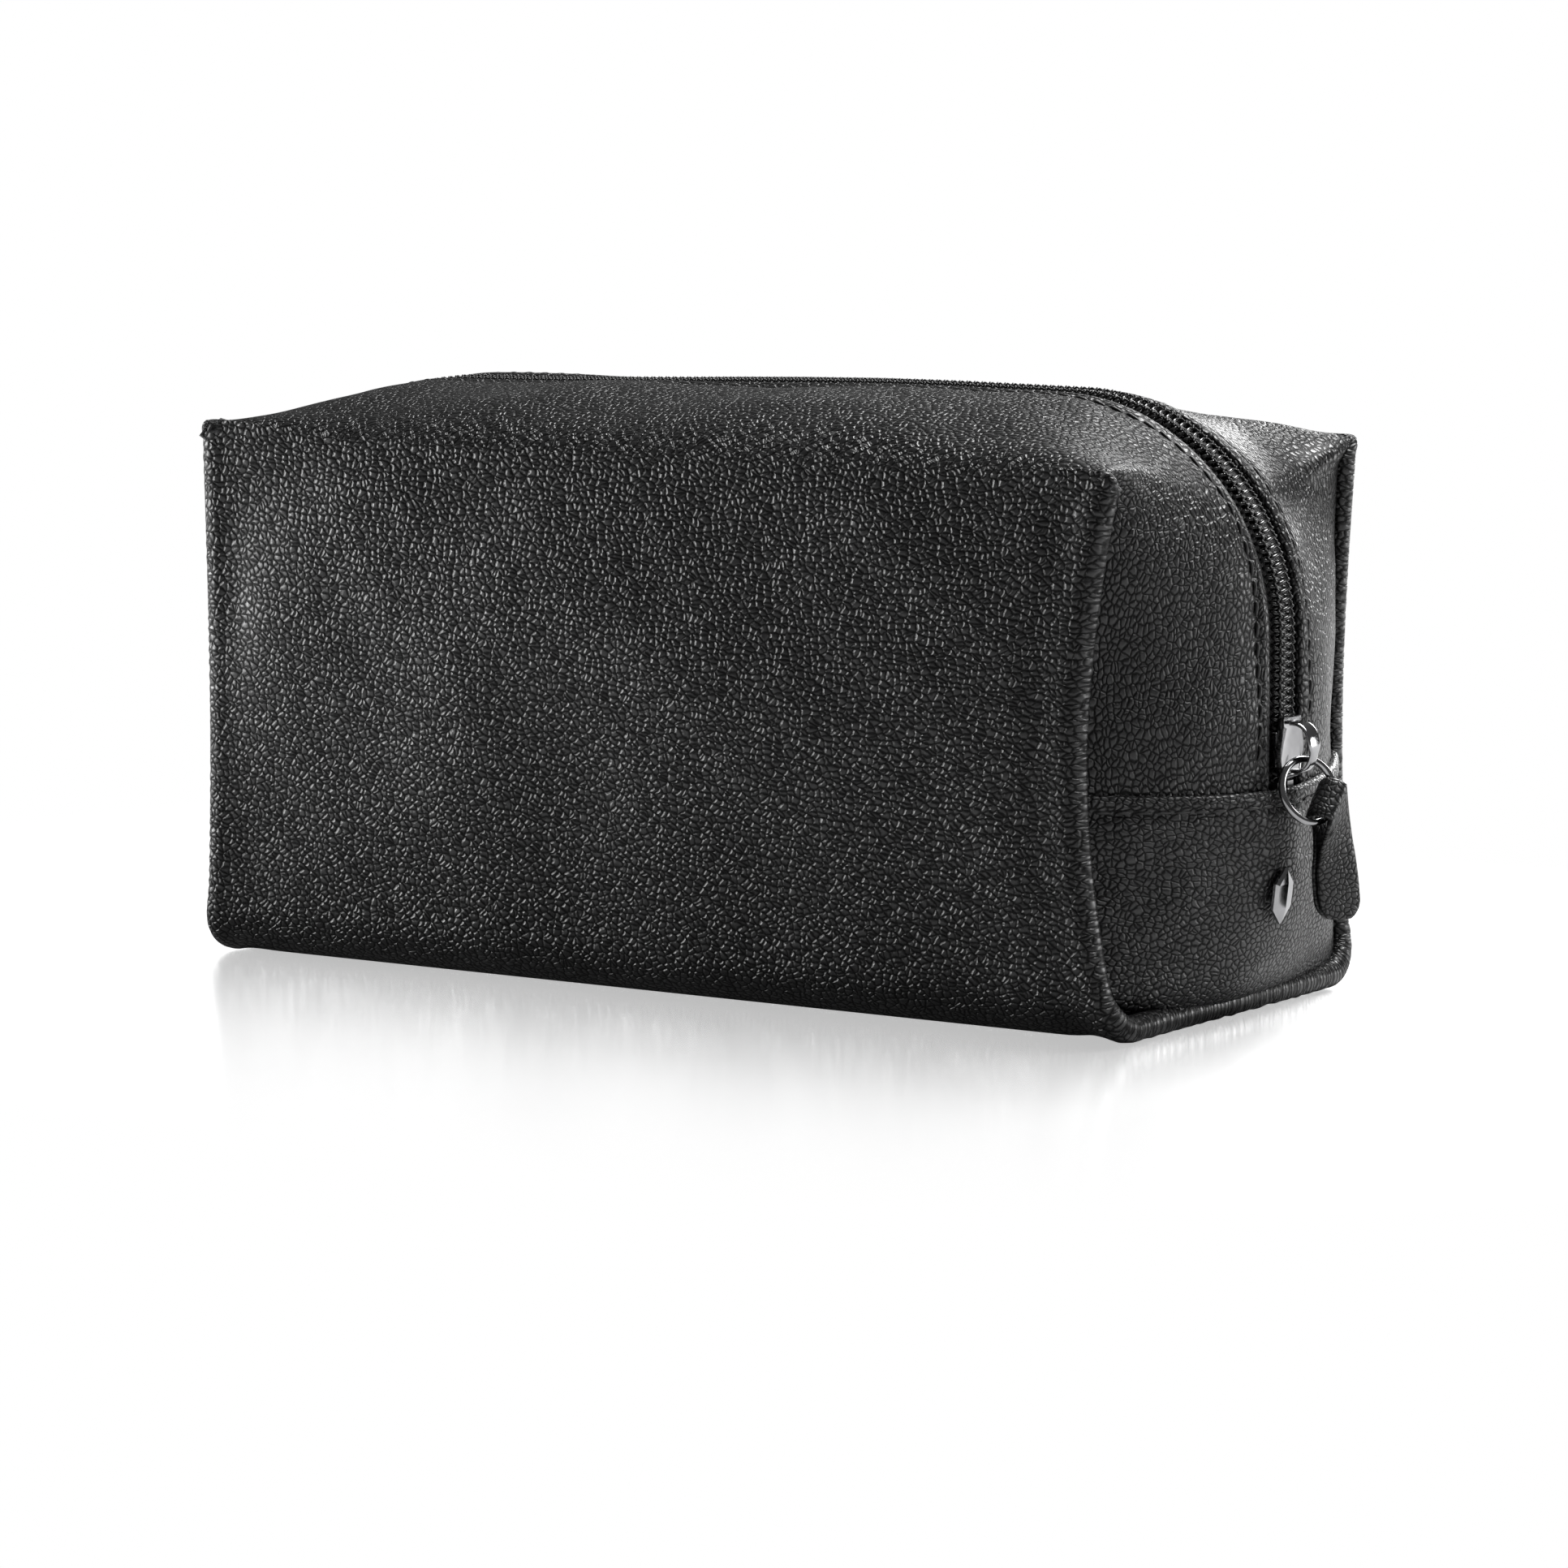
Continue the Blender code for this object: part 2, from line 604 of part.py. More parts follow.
def make_pull(pull_pivot):
    """Leather strip folded round the ring's wire, skewed so that it hangs straight down."""
    across, _, ring_centre = ring_frame()
    axis = pull_axis()
    loop_centre = ring_point(PULL_ANGLE, PULL_LOOP_CENTRE)
    away = (loop_centre - ring_centre).normalized()
    front = away.cross(axis)
    facing = across.cross(Vector((0, 0, 1)))
    layer = (PULL_LAYER_GAP + PULL_LEATHER) / 2

    def row(share, face):
        """Across one layer of the strip, at a share of the way from the loop to the tip."""
        turn = clamp(PULL_TURN_RATE * share)
        width = axis.lerp(across, turn).normalized()
        outwards = front.lerp(facing, turn).normalized()
        opening = (PULL_LOOP_RADIUS - layer) * clamp(1 - share / PULL_LOOP_SHARE) ** PULL_LOOP_POWER
        middle = loop_centre + PULL_HANG * share + outwards * face * (layer + opening)
        spread_share = clamp(PULL_SPREAD_RATE * share) ** PULL_SPREAD_POWER
        half = PULL_LOOP_HALF_WIDTH
        half += (PULL_TIP_HALF_WIDTH - PULL_LOOP_HALF_WIDTH) * spread_share
        half *= math.sqrt(1 - (PULL_TIP_RATE * max(share - PULL_TIP_START, 0)) ** 2)
        return [middle + width * half * side for side in (-1, 0, 1)]

    grid = [row(share, -1) for share in PULL_ROW_SHARES]
    for angle in spread(0, math.pi, 6):
        offset = (away * -math.sin(angle) - front * math.cos(angle)) * PULL_LOOP_RADIUS
        half = PULL_LOOP_HALF_WIDTH
        grid.append([loop_centre + offset + axis * half * side for side in (-1, 0, 1)])
    grid += [row(share, 1) for share in reversed(PULL_ROW_SHARES)]
    add_part("pull_tab", "leather", sheet(grid, -PULL_LEATHER / 2, PULL_LEATHER / 2), pull_pivot)


def make_badge():
    """Plain six-sided badge on the right end panel, with the washer that clamps it inside."""
    rows = panel_stations(BADGE_Z + 2 * MM, BADGE_Z - 2 * MM, 2)
    (_, top), (_, low) = rows[0], rows[-1]
    up = Vector((top.x - low.x, 0, top.z - low.z)).normalized()
    outwards = Vector((up.z, 0, -up.x))
    across = Vector((0, 1, 0))
    on_panel = Vector((arch_point(*panel_stations(BADGE_Z, 0, 1)[0], 0).x, BADGE_Y, BADGE_Z))
    low_side, high_side = -BADGE_SIDE_SHARE, BADGE_SIDE_SHARE
    corners = ((0, 1), (1, high_side), (1, low_side), (0, -1), (-1, low_side), (-1, high_side))
    base = on_panel + outwards * GAP
    outline = [
        base + across * (a * BADGE_HALF_WIDTH) + up * (b * BADGE_HALF_HEIGHT) for a, b in corners
    ]
    add_part("badge", "metal", prism(outline, outwards * BADGE_THICKNESS))

    inside = on_panel - outwards * (LEATHER + GAP)
    outline = [
        inside + (across * math.cos(a) + up * math.sin(a)) * WASHER_RADIUS
        for a in (2 * math.pi * i / WASHER_SIDES for i in range(WASHER_SIDES))
    ]
    add_part("badge_washer", "metal", prism(outline, -outwards * WASHER_THICKNESS))


def main():
    for old in list(bpy.data.objects):
        bpy.data.objects.remove(old)
    hinges = {
        name: pivot(f"{name}_flap_hinge", (0, side * HALF_DEPTH, FOLD_Z))
        for name, side in SIDES.items()
    }
    rail = pivot("slider_rail", (END_X, 0, SLIDER_Z))
    ring_pivot = pivot("ring_pivot", RING_TOP, rail)
    pull_pivot = pivot("pull_pivot", ring_point(PULL_ANGLE, PULL_LOOP_CENTRE), ring_pivot)
    make_wrap()
    make_flaps(hinges)
    make_shoulders()
    make_end_panels()
    make_stops()
    make_slider(rail)
    make_ring(ring_pivot)
    make_pull(pull_pivot)
    make_badge()


main()
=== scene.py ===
"""Makeup bag: the looks.

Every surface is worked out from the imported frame's boxes and joint positions. The leather is
built in metres as grids of points: a sleeve for the front, base and back, four upper halves that
run from the middle of the top over a corner and down an end beside the zip, and two lower end
panels. The upper halves, with what is sewn to them, bend between the bag and its flaps.
"""

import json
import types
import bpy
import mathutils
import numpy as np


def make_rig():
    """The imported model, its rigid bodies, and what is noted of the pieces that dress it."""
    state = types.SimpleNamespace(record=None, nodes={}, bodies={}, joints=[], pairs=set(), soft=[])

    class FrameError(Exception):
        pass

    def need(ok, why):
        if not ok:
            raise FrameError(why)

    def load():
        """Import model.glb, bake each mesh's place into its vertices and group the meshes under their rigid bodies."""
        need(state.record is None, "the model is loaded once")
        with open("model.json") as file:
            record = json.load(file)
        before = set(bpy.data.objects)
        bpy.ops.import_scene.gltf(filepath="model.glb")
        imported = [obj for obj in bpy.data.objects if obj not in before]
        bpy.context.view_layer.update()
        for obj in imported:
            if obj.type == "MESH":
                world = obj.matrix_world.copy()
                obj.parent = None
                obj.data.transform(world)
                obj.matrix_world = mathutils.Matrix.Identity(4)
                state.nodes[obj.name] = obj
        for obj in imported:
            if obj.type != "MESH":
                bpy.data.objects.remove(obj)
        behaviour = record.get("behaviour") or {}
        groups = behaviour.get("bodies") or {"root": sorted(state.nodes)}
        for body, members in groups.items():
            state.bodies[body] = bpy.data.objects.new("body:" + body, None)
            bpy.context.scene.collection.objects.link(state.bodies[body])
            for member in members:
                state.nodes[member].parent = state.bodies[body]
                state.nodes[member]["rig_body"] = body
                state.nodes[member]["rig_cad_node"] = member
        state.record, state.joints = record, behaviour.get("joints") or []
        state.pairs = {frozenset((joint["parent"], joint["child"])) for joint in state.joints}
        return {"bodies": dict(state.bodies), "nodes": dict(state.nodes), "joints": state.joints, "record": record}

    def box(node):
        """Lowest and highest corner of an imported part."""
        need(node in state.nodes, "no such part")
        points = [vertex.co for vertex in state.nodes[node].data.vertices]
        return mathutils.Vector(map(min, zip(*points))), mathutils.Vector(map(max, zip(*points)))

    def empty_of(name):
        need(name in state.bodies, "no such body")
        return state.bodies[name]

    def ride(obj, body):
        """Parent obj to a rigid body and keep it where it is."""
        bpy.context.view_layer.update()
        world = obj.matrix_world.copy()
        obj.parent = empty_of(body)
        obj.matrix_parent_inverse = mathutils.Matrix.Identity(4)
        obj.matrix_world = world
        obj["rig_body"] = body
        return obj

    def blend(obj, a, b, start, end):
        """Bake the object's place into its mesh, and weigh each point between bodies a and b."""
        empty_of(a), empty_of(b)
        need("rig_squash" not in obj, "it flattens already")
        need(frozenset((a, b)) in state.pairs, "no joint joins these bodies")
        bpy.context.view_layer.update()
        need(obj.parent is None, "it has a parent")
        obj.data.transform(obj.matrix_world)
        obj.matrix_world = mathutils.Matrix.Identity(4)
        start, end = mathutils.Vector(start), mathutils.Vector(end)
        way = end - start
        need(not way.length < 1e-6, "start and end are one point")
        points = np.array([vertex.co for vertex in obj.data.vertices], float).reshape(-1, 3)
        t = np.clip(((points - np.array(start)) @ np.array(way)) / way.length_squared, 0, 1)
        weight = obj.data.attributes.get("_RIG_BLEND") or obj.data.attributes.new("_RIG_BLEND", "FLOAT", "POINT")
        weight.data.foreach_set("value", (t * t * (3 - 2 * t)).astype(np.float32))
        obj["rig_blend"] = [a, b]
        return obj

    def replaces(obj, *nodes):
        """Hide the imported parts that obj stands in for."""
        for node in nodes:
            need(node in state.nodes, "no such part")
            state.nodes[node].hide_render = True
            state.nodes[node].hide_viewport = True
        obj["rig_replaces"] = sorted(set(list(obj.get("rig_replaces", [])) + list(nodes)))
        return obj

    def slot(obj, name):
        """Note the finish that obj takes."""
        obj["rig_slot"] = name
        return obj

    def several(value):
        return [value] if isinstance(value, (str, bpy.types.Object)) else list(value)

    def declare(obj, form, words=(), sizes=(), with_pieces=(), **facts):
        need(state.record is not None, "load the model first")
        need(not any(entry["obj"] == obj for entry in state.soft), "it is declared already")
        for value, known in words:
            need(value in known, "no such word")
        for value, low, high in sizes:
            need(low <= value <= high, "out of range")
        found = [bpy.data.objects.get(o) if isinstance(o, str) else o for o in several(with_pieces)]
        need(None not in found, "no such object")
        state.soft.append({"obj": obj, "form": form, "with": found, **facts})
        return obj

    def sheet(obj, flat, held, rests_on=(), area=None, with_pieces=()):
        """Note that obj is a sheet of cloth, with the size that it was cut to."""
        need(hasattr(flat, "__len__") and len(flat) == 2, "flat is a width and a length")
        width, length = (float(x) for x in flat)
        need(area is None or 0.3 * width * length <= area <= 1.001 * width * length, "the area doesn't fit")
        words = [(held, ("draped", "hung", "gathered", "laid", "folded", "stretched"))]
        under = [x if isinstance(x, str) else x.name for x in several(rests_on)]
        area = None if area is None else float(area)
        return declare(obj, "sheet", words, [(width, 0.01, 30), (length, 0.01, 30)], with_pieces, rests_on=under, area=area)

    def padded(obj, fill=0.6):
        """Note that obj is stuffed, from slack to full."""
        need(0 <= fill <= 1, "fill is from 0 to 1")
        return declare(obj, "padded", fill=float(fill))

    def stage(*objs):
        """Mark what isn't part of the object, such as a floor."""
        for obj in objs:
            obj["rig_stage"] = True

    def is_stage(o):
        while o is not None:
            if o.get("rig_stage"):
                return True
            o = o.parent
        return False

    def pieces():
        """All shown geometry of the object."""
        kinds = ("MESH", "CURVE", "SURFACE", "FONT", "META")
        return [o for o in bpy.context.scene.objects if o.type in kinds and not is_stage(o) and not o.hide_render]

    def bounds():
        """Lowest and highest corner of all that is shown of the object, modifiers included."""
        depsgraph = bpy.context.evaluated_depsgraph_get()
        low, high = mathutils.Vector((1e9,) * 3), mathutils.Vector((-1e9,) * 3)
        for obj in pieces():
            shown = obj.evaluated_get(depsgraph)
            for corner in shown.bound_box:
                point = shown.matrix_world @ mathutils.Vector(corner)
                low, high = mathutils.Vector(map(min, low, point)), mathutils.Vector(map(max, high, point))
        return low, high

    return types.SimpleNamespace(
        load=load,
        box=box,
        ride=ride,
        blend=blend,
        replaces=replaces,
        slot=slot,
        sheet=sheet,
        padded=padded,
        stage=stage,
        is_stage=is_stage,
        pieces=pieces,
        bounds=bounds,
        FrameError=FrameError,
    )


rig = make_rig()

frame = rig.load()

import json
import math

import bmesh
import bpy
import numpy as np
from mathutils import Vector

CAD_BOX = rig.bounds()
MM = 0.001

# ---------------------------------------------------------------- sizes from the frame

JOINTS = {joint["name"]: joint for joint in frame["joints"]}
_, FOLD_Y, FOLD_Z = JOINTS["back_flap_hinge"]["pos_m"]
HALF_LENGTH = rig.box("body_wrap")[1].x
END_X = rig.box("shoulder_back_right")[1].x
TOP_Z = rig.box("shoulder_back_right")[1].z
TAPE_END_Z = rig.box("zip_tape_back_right")[0].z
COIL_END_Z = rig.box("zip_coil_back_right")[0].z
PANEL_TOP_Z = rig.box("end_panel_right")[1].z
PANEL_BASE_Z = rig.box("end_panel_right")[0].z
PANEL_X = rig.box("end_panel_right")[1].x

BASE_RADIUS = 9 * MM
BULGE = 5.4 * MM  # how far the front and the back swell
SWELL_RISE = 1.45  # above 1, the swell is fullest above mid height and leans back to the fold
# Each end edge, by (end, side): how far it pulls in at mid height, and how far it stands out
DRAW_IN = {(1, -1): 6.6 * MM, (1, 1): 2.6 * MM, (-1, -1): 1.4 * MM, (-1, 1): 3 * MM}
STAND_OUT = {(1, -1): 0, (1, 1): 1.5 * MM, (-1, -1): 0.4 * MM, (-1, 1): 0}
TIP_LIFT = 2.4 * MM  # the fold line rises to the upper corners
TIP_LIFT_START, TIP_LIFT_END = 66 * MM, 92 * MM
BASE_FLARE = 1 * MM
LEATHER = 1.6 * MM
SEAM_INSET = {-1: 8.2 * MM, 1: 2.8 * MM}  # by side, from the rolled edge in to the end leather's seam
SEAM_TUCK = 1.9 * MM
ZIP_EDGE = 5 * MM  # from the middle of the zip to the leather's folded edge
HEM_RADIUS = 0.95 * MM
HEM_SET_BACK = 1.5 * MM  # the folded edge starts this far outside ZIP_EDGE
ZIP_CORNER = 42.2 * MM  # radius of the zip line over the ends
TIP_RADIUS = 2.4 * MM  # rounding of the wrap's upper corners
LIP_RADIUS = 2.3 * MM
TAPE_DEPTH = 1.9 * MM
LINING_DEPTH = 5.0 * MM
LINING = 0.6 * MM
STITCH_PITCH = 3.7 * MM
STITCH_LENGTH = 3.0 * MM
ZIP_STITCH_INSET = 2.7 * MM  # from the folded edge beside the zip
PANEL_STITCH_INSET = 2.2 * MM  # from the end panel's folded edge
PUCKER = 0.3 * MM  # how far a stitch row pulls the leather down
PUCKER_WIDTH = 0.8 * MM
PANEL_FOOT_X = 97 * MM  # middle of an end panel's lower edge
PANEL_PROUD = 1.9 * MM  # how far its upper corners stand out over the upper leather
PANEL_DIP = 1.5 * MM  # how far its folded edge hangs in the middle
LINED_SHARE, PADDED_SHARE = 0.86, 0.83  # of the bag's length and of an end panel's width
FELT = (2.3 * MM, 4.1 * MM)  # depths of the felt's two sides under the leather
COIL_PITCH = 1.6 * MM
RING_RADIUS = 5.8 * MM  # to the middle of its wire
RING_WIRE = 0.68 * MM
RING_TILT = 20  # degrees out of plumb
PULL_HANG = np.array([1.2, 1.7, -20.5]) * MM  # from the middle of its loop to its tip
PULL_THICKNESS, PULL_LAYER = 1.1 * MM, 0.75 * MM
PULL_LOOP_RADIUS = 2.65 * MM
PULL_HALF_WIDTH = 4  # mm, at the loop

SIDES = {"front": -1, "back": 1}
ENDS = {"right": 1, "left": -1}
ZIP_SAG = 3.6 * MM  # the zip sinks this much towards the left end, from
ZIP_SAG_START, ZIP_SAG_REACH = 45 * MM, 125 * MM  # here to this far further left
BACK_SAG = 2.2 * MM  # of the back half between the zip and its upper corners
BACK_SAG_START, BACK_SAG_REACH = 20 * MM, 50 * MM
HUMP_X, HUMP_Y, HUMP_HEIGHT = -60 * MM, 20 * MM, 2.2 * MM  # on the left of the back half
HUMP_LENGTH, HUMP_WIDTH = 24 * MM, 12 * MM
BEND_START, BEND_END = 94 * MM, 30 * MM  # along the top, where the shoulders turn into flaps

# ---------------------------------------------------------------- small maths


def smooth(t):
    t = np.clip(t, 0.0, 1.0)
    return t * t * (3 - 2 * t)


def bump(distance, width):
    return np.exp(-((distance / width) ** 2))


def waves(points, wavelength, seed, count=12):
    """Smooth noise in about -1 to 1, from waves in seeded directions."""
    rng = np.random.default_rng(seed)
    directions = rng.normal(size=(count, points.shape[-1]))
    directions /= np.linalg.norm(directions, axis=1)[:, None]
    lengths = wavelength * rng.uniform(0.7, 1.5, count)
    phases = rng.uniform(0, 2 * math.pi, count)
    total = np.zeros(points.shape[:-1])
    for direction, length, phase in zip(directions, lengths, phases, strict=True):
        total += np.sin(points @ direction * 2 * math.pi / length + phase)
    return total / math.sqrt(count / 2) / 1.6


def stack(*values):
    """Points, from x, y and z values that are spread to one shape."""
    return np.stack(np.broadcast_arrays(*values), -1)


def resample(at, along, path):
    """Points of a path at new distances along it."""
    return np.stack([np.interp(at, along, path[:, k]) for k in range(3)], -1)


def unit(vectors):
    length = np.linalg.norm(vectors, axis=-1, keepdims=True)
    return vectors / np.maximum(length, 1e-12)


def grid_normals(points, outwards):
    """Unit normals of a grid, on the side that outwards (an array of directions) points to."""
    rows, columns = np.gradient(points, axis=0), np.gradient(points, axis=1)
    normals = unit(np.cross(rows, columns))
    sign = np.sign((normals * outwards).sum(-1, keepdims=True))
    return normals * np.where(sign == 0, 1, sign)


def arc_length(points, axis):
    steps = np.linalg.norm(np.diff(points, axis=axis), axis=-1)
    start = np.zeros_like(np.take(steps, [0], axis=axis))
    return np.concatenate([start, np.cumsum(steps, axis=axis)], axis=axis)


def quads(rows, columns, close_rows=False, close_columns=False):
    i = np.arange(rows if close_rows else rows - 1)
    j = np.arange(columns if close_columns else columns - 1)
    i, j = np.meshgrid(i, j, indexing="ij")
    k, m = (i + 1) % rows, (j + 1) % columns
    corners = (i * columns + j, k * columns + j, k * columns + m, i * columns + m)
    return np.stack(corners, -1).reshape(-1, 4)


# ---------------------------------------------------------------- pieces


def make_piece(name, points, faces, finish, slot, grain=None, sharp=None):
    """Mesh object of those points and faces. Its grain attribute is where textures are read."""
    points = np.asarray(points, float).reshape(-1, 3)
    mesh = bpy.data.meshes.new(name)
    mesh.from_pydata(points.tolist(), [], [list(face) for face in faces])
    form = bmesh.new()
    form.from_mesh(mesh)
    bmesh.ops.recalc_face_normals(form, faces=form.faces)
    form.to_mesh(mesh)
    form.free()
    values = points if grain is None else np.asarray(grain, float).reshape(-1, 3)
    attribute = mesh.attributes.new("grain", "FLOAT_VECTOR", "POINT")
    attribute.data.foreach_set("vector", values.astype(np.float32).ravel())
    mesh.shade_smooth()
    if sharp:
        mesh.set_sharp_from_angle(angle=math.radians(sharp))
    mesh.materials.append(FINISHES[finish])
    made = place(name, mesh)
    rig.slot(made, slot)
    return made


def place(name, data):
    """Object for that mesh, light or camera, in the scene."""
    made = bpy.data.objects.new(name, data)
    bpy.context.scene.collection.objects.link(made)
    return made


def quarter_nodes(quarter, middle, end):
    """Nodes a quarter stands for: its own, and at the right end the flap's middle too."""
    return [quarter, middle] if end > 0 else [quarter]


def folded_edge(rim, towards, out, count):
    """Rows of points round a folded edge, from the outer side of the leather to its back."""
    bow = np.linspace(0, math.pi, count)[1:]
    return [rim + towards * HEM_RADIUS * np.sin(a) - out * HEM_RADIUS * (1 - np.cos(a)) for a in bow]


def join_to(made, body, end=0):
    """Rides on a body, or bends between the bag and a flap on that end of the top."""
    if body.endswith("flap"):
        start, stop = (end * BEND_START, 0, 0), (end * BEND_END, 0, 0)
        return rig.blend(made, "bag", body, start=start, end=stop)
    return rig.ride(made, body)


def slab(points, normals, outer, inner):
    """Points and faces of a closed sheet between two depths under a grid."""
    rows, columns = points.shape[:2]
    layers = np.stack([points - normals * outer, points - normals * inner])
    faces = quads(rows, columns)
    count = rows * columns
    rim = [i * columns for i in range(rows)]
    rim += [(rows - 1) * columns + j for j in range(1, columns)]
    rim += [i * columns + columns - 1 for i in range(rows - 2, -1, -1)]
    rim += list(range(columns - 2, 0, -1))
    sides = [[a, b, b + count, a + count] for a, b in zip(rim, rim[1:] + rim[:1], strict=True)]
    return layers.reshape(-1, 3), [*faces.tolist(), *(faces + count).tolist(), *sides]


def tube(path, across, up, radius, sides=8, closed=False):
    """Round tube along a path, with its two section directions. Open ends are closed with flat caps."""
    angles = np.linspace(0, 2 * math.pi, sides, endpoint=False)
    radius = np.broadcast_to(radius, path.shape[:1])[:, None, None]
    ring = across[:, None] * np.cos(angles)[None, :, None] + up[:, None] * np.sin(angles)[None, :, None]
    points = path[:, None] + ring * radius
    faces = quads(len(path), sides, closed, True).tolist()
    if not closed:
        last = (len(path) - 1) * sides
        faces += [list(range(sides)), list(range(last, last + sides))]
    return points.reshape(-1, 3), faces


def gather(parts):
    """One set of points and faces out of several."""
    points, faces, count = [], [], 0
    for part_points, part_faces in parts:
        points.append(part_points)
        faces += [[index + count for index in face] for face in part_faces]
        count += len(part_points)
    return np.concatenate(points), faces


def stitches(path, normals, start_offset=0.6 * MM):
    """Row of thread stitches that dive into the leather at both ends."""
    along = arc_length(path, 0)
    total = along[-1]
    share = np.linspace(0, 1, 9)
    parts = []
    position = start_offset
    while position + STITCH_LENGTH < total:
        at = position + share * STITCH_LENGTH
        centre = resample(at, along, path)
        up = unit(resample(at, along, normals))
        tangent = unit(np.gradient(centre, axis=0))
        across = unit(np.cross(up, tangent))
        rise = (np.sin(math.pi * share) ** 0.5 * 0.42 - 0.28) * MM
        radius = (0.2 + 0.12 * np.sin(math.pi * share) ** 0.4) * MM
        parts.append(tube(centre + up * rise[:, None], across, up, radius, 7))
        position += STITCH_PITCH
    return gather(parts)


# ---------------------------------------------------------------- materials


def new_material(name):
    made = bpy.data.materials.new(name)
    made.use_nodes = True
    return made, made.node_tree, made.node_tree.nodes["Principled BSDF"]


def node(tree, kind, settings=None, **inputs):
    """Adds a node; inputs are sockets to link or values to set, by input name."""
    made = tree.nodes.new(kind)
    for key, value in (settings or {}).items():
        setattr(made, key, value)
    for key, value in inputs.items():
        socket = made.inputs[int(key[1:])] if key[1:].isdigit() else made.inputs[key]
        if isinstance(value, bpy.types.NodeSocket):
            tree.links.new(value, socket)
        else:
            socket.default_value = value
    return made


def maths(tree, operation, *values):
    inputs = {f"i{k}": value for k, value in enumerate(values)}
    return node(tree, "ShaderNodeMath", {"operation": operation}, **inputs).outputs[0]


def ramp_between(tree, value, low, high, to_low=0.0, to_high=1.0):
    inputs = {"Value": value, "From Min": low, "From Max": high, "To Min": to_low, "To Max": to_high}
    settings = {"interpolation_type": "SMOOTHSTEP"}
    return node(tree, "ShaderNodeMapRange", settings, **inputs).outputs[0]


def grain_vector(tree):
    return node(tree, "ShaderNodeAttribute", {"attribute_name": "grain"}).outputs["Vector"]


def mix_colour(tree, factor, a, b):
    made = node(tree, "ShaderNodeMix", {"data_type": "RGBA"})
    tree.links.new(factor, made.inputs[0])
    made.inputs[6].default_value = (*a, 1)
    made.inputs[7].default_value = (*b, 1)
    return made.outputs[2]


def noise(tree, vector, scale, detail=3.0):
    return node(tree, "ShaderNodeTexNoise", None, Vector=vector, Scale=scale, Detail=detail)


def set_bump(tree, shader, height, distance):
    made = node(tree, "ShaderNodeBump", None, Height=height, Distance=distance, Strength=1.0)
    tree.links.new(made.outputs[0], shader.inputs["Normal"])


def leather(name, cell, depth, valley, peak, roughness):
    """Pebbled leather: domed grains parted by fine valleys, with creases and pores."""
    made, tree, shader = new_material(name)
    stretched = node(tree, "ShaderNodeVectorMath", {"operation": "MULTIPLY"}, i0=grain_vector(tree))
    stretched.inputs[1].default_value = (0.86, 1.1, 1)
    spot = stretched.outputs[0]
    drift = node(tree, "ShaderNodeVectorMath", {"operation": "SUBTRACT"})
    tree.links.new(noise(tree, spot, 0.35 / cell).outputs["Color"], drift.inputs[0])
    drift.inputs[1].default_value = (0.5, 0.5, 0.5)
    warp = node(tree, "ShaderNodeVectorMath", {"operation": "MULTIPLY_ADD"})
    tree.links.new(drift.outputs[0], warp.inputs[0])
    warp.inputs[1].default_value = (1.5 * cell, 1.5 * cell, 0)
    tree.links.new(spot, warp.inputs[2])
    warped = warp.outputs[0]
    flat = {"voronoi_dimensions": "2D"}
    edge_settings = {**flat, "feature": "DISTANCE_TO_EDGE"}
    edge = node(tree, "ShaderNodeTexVoronoi", edge_settings, Vector=warped, Scale=1 / cell)
    middle = node(tree, "ShaderNodeTexVoronoi", flat, Vector=warped, Scale=1 / cell)
    plateau = ramp_between(tree, edge.outputs["Distance"], -0.02, 0.3)
    reach = middle.outputs["Distance"]
    dome = maths(tree, "SUBTRACT", 1.0, maths(tree, "MULTIPLY", reach, reach))
    hills = noise(tree, spot, 0.3 / cell, 2.0).outputs["Fac"]
    pores = noise(tree, spot, 4 / cell, 2.0).outputs["Fac"]
    height = maths(tree, "MULTIPLY_ADD", dome, 0.9, plateau)
    height = maths(tree, "MULTIPLY_ADD", hills, 1.6, height)
    height = maths(tree, "MULTIPLY_ADD", pores, 0.08, height)
    set_bump(tree, shader, height, depth)
    patchy = noise(tree, spot, 0.06 / cell, 2.0).outputs["Fac"]
    tree.links.new(mix_colour(tree, plateau, valley, peak), shader.inputs["Base Color"])
    rough = maths(tree, "MULTIPLY_ADD", plateau, -0.1, roughness + 0.1)
    rough = maths(tree, "MULTIPLY_ADD", patchy, 0.12, maths(tree, "SUBTRACT", rough, 0.06))
    tree.links.new(rough, shader.inputs["Roughness"])
    tree.links.new(ramp_between(tree, plateau, 0, 1, 0.1, 0.5), shader.inputs["Specular IOR Level"])
    shader.inputs["Coat Weight"].default_value = 0.1
    shader.inputs["Coat Roughness"].default_value = 0.3
    return made


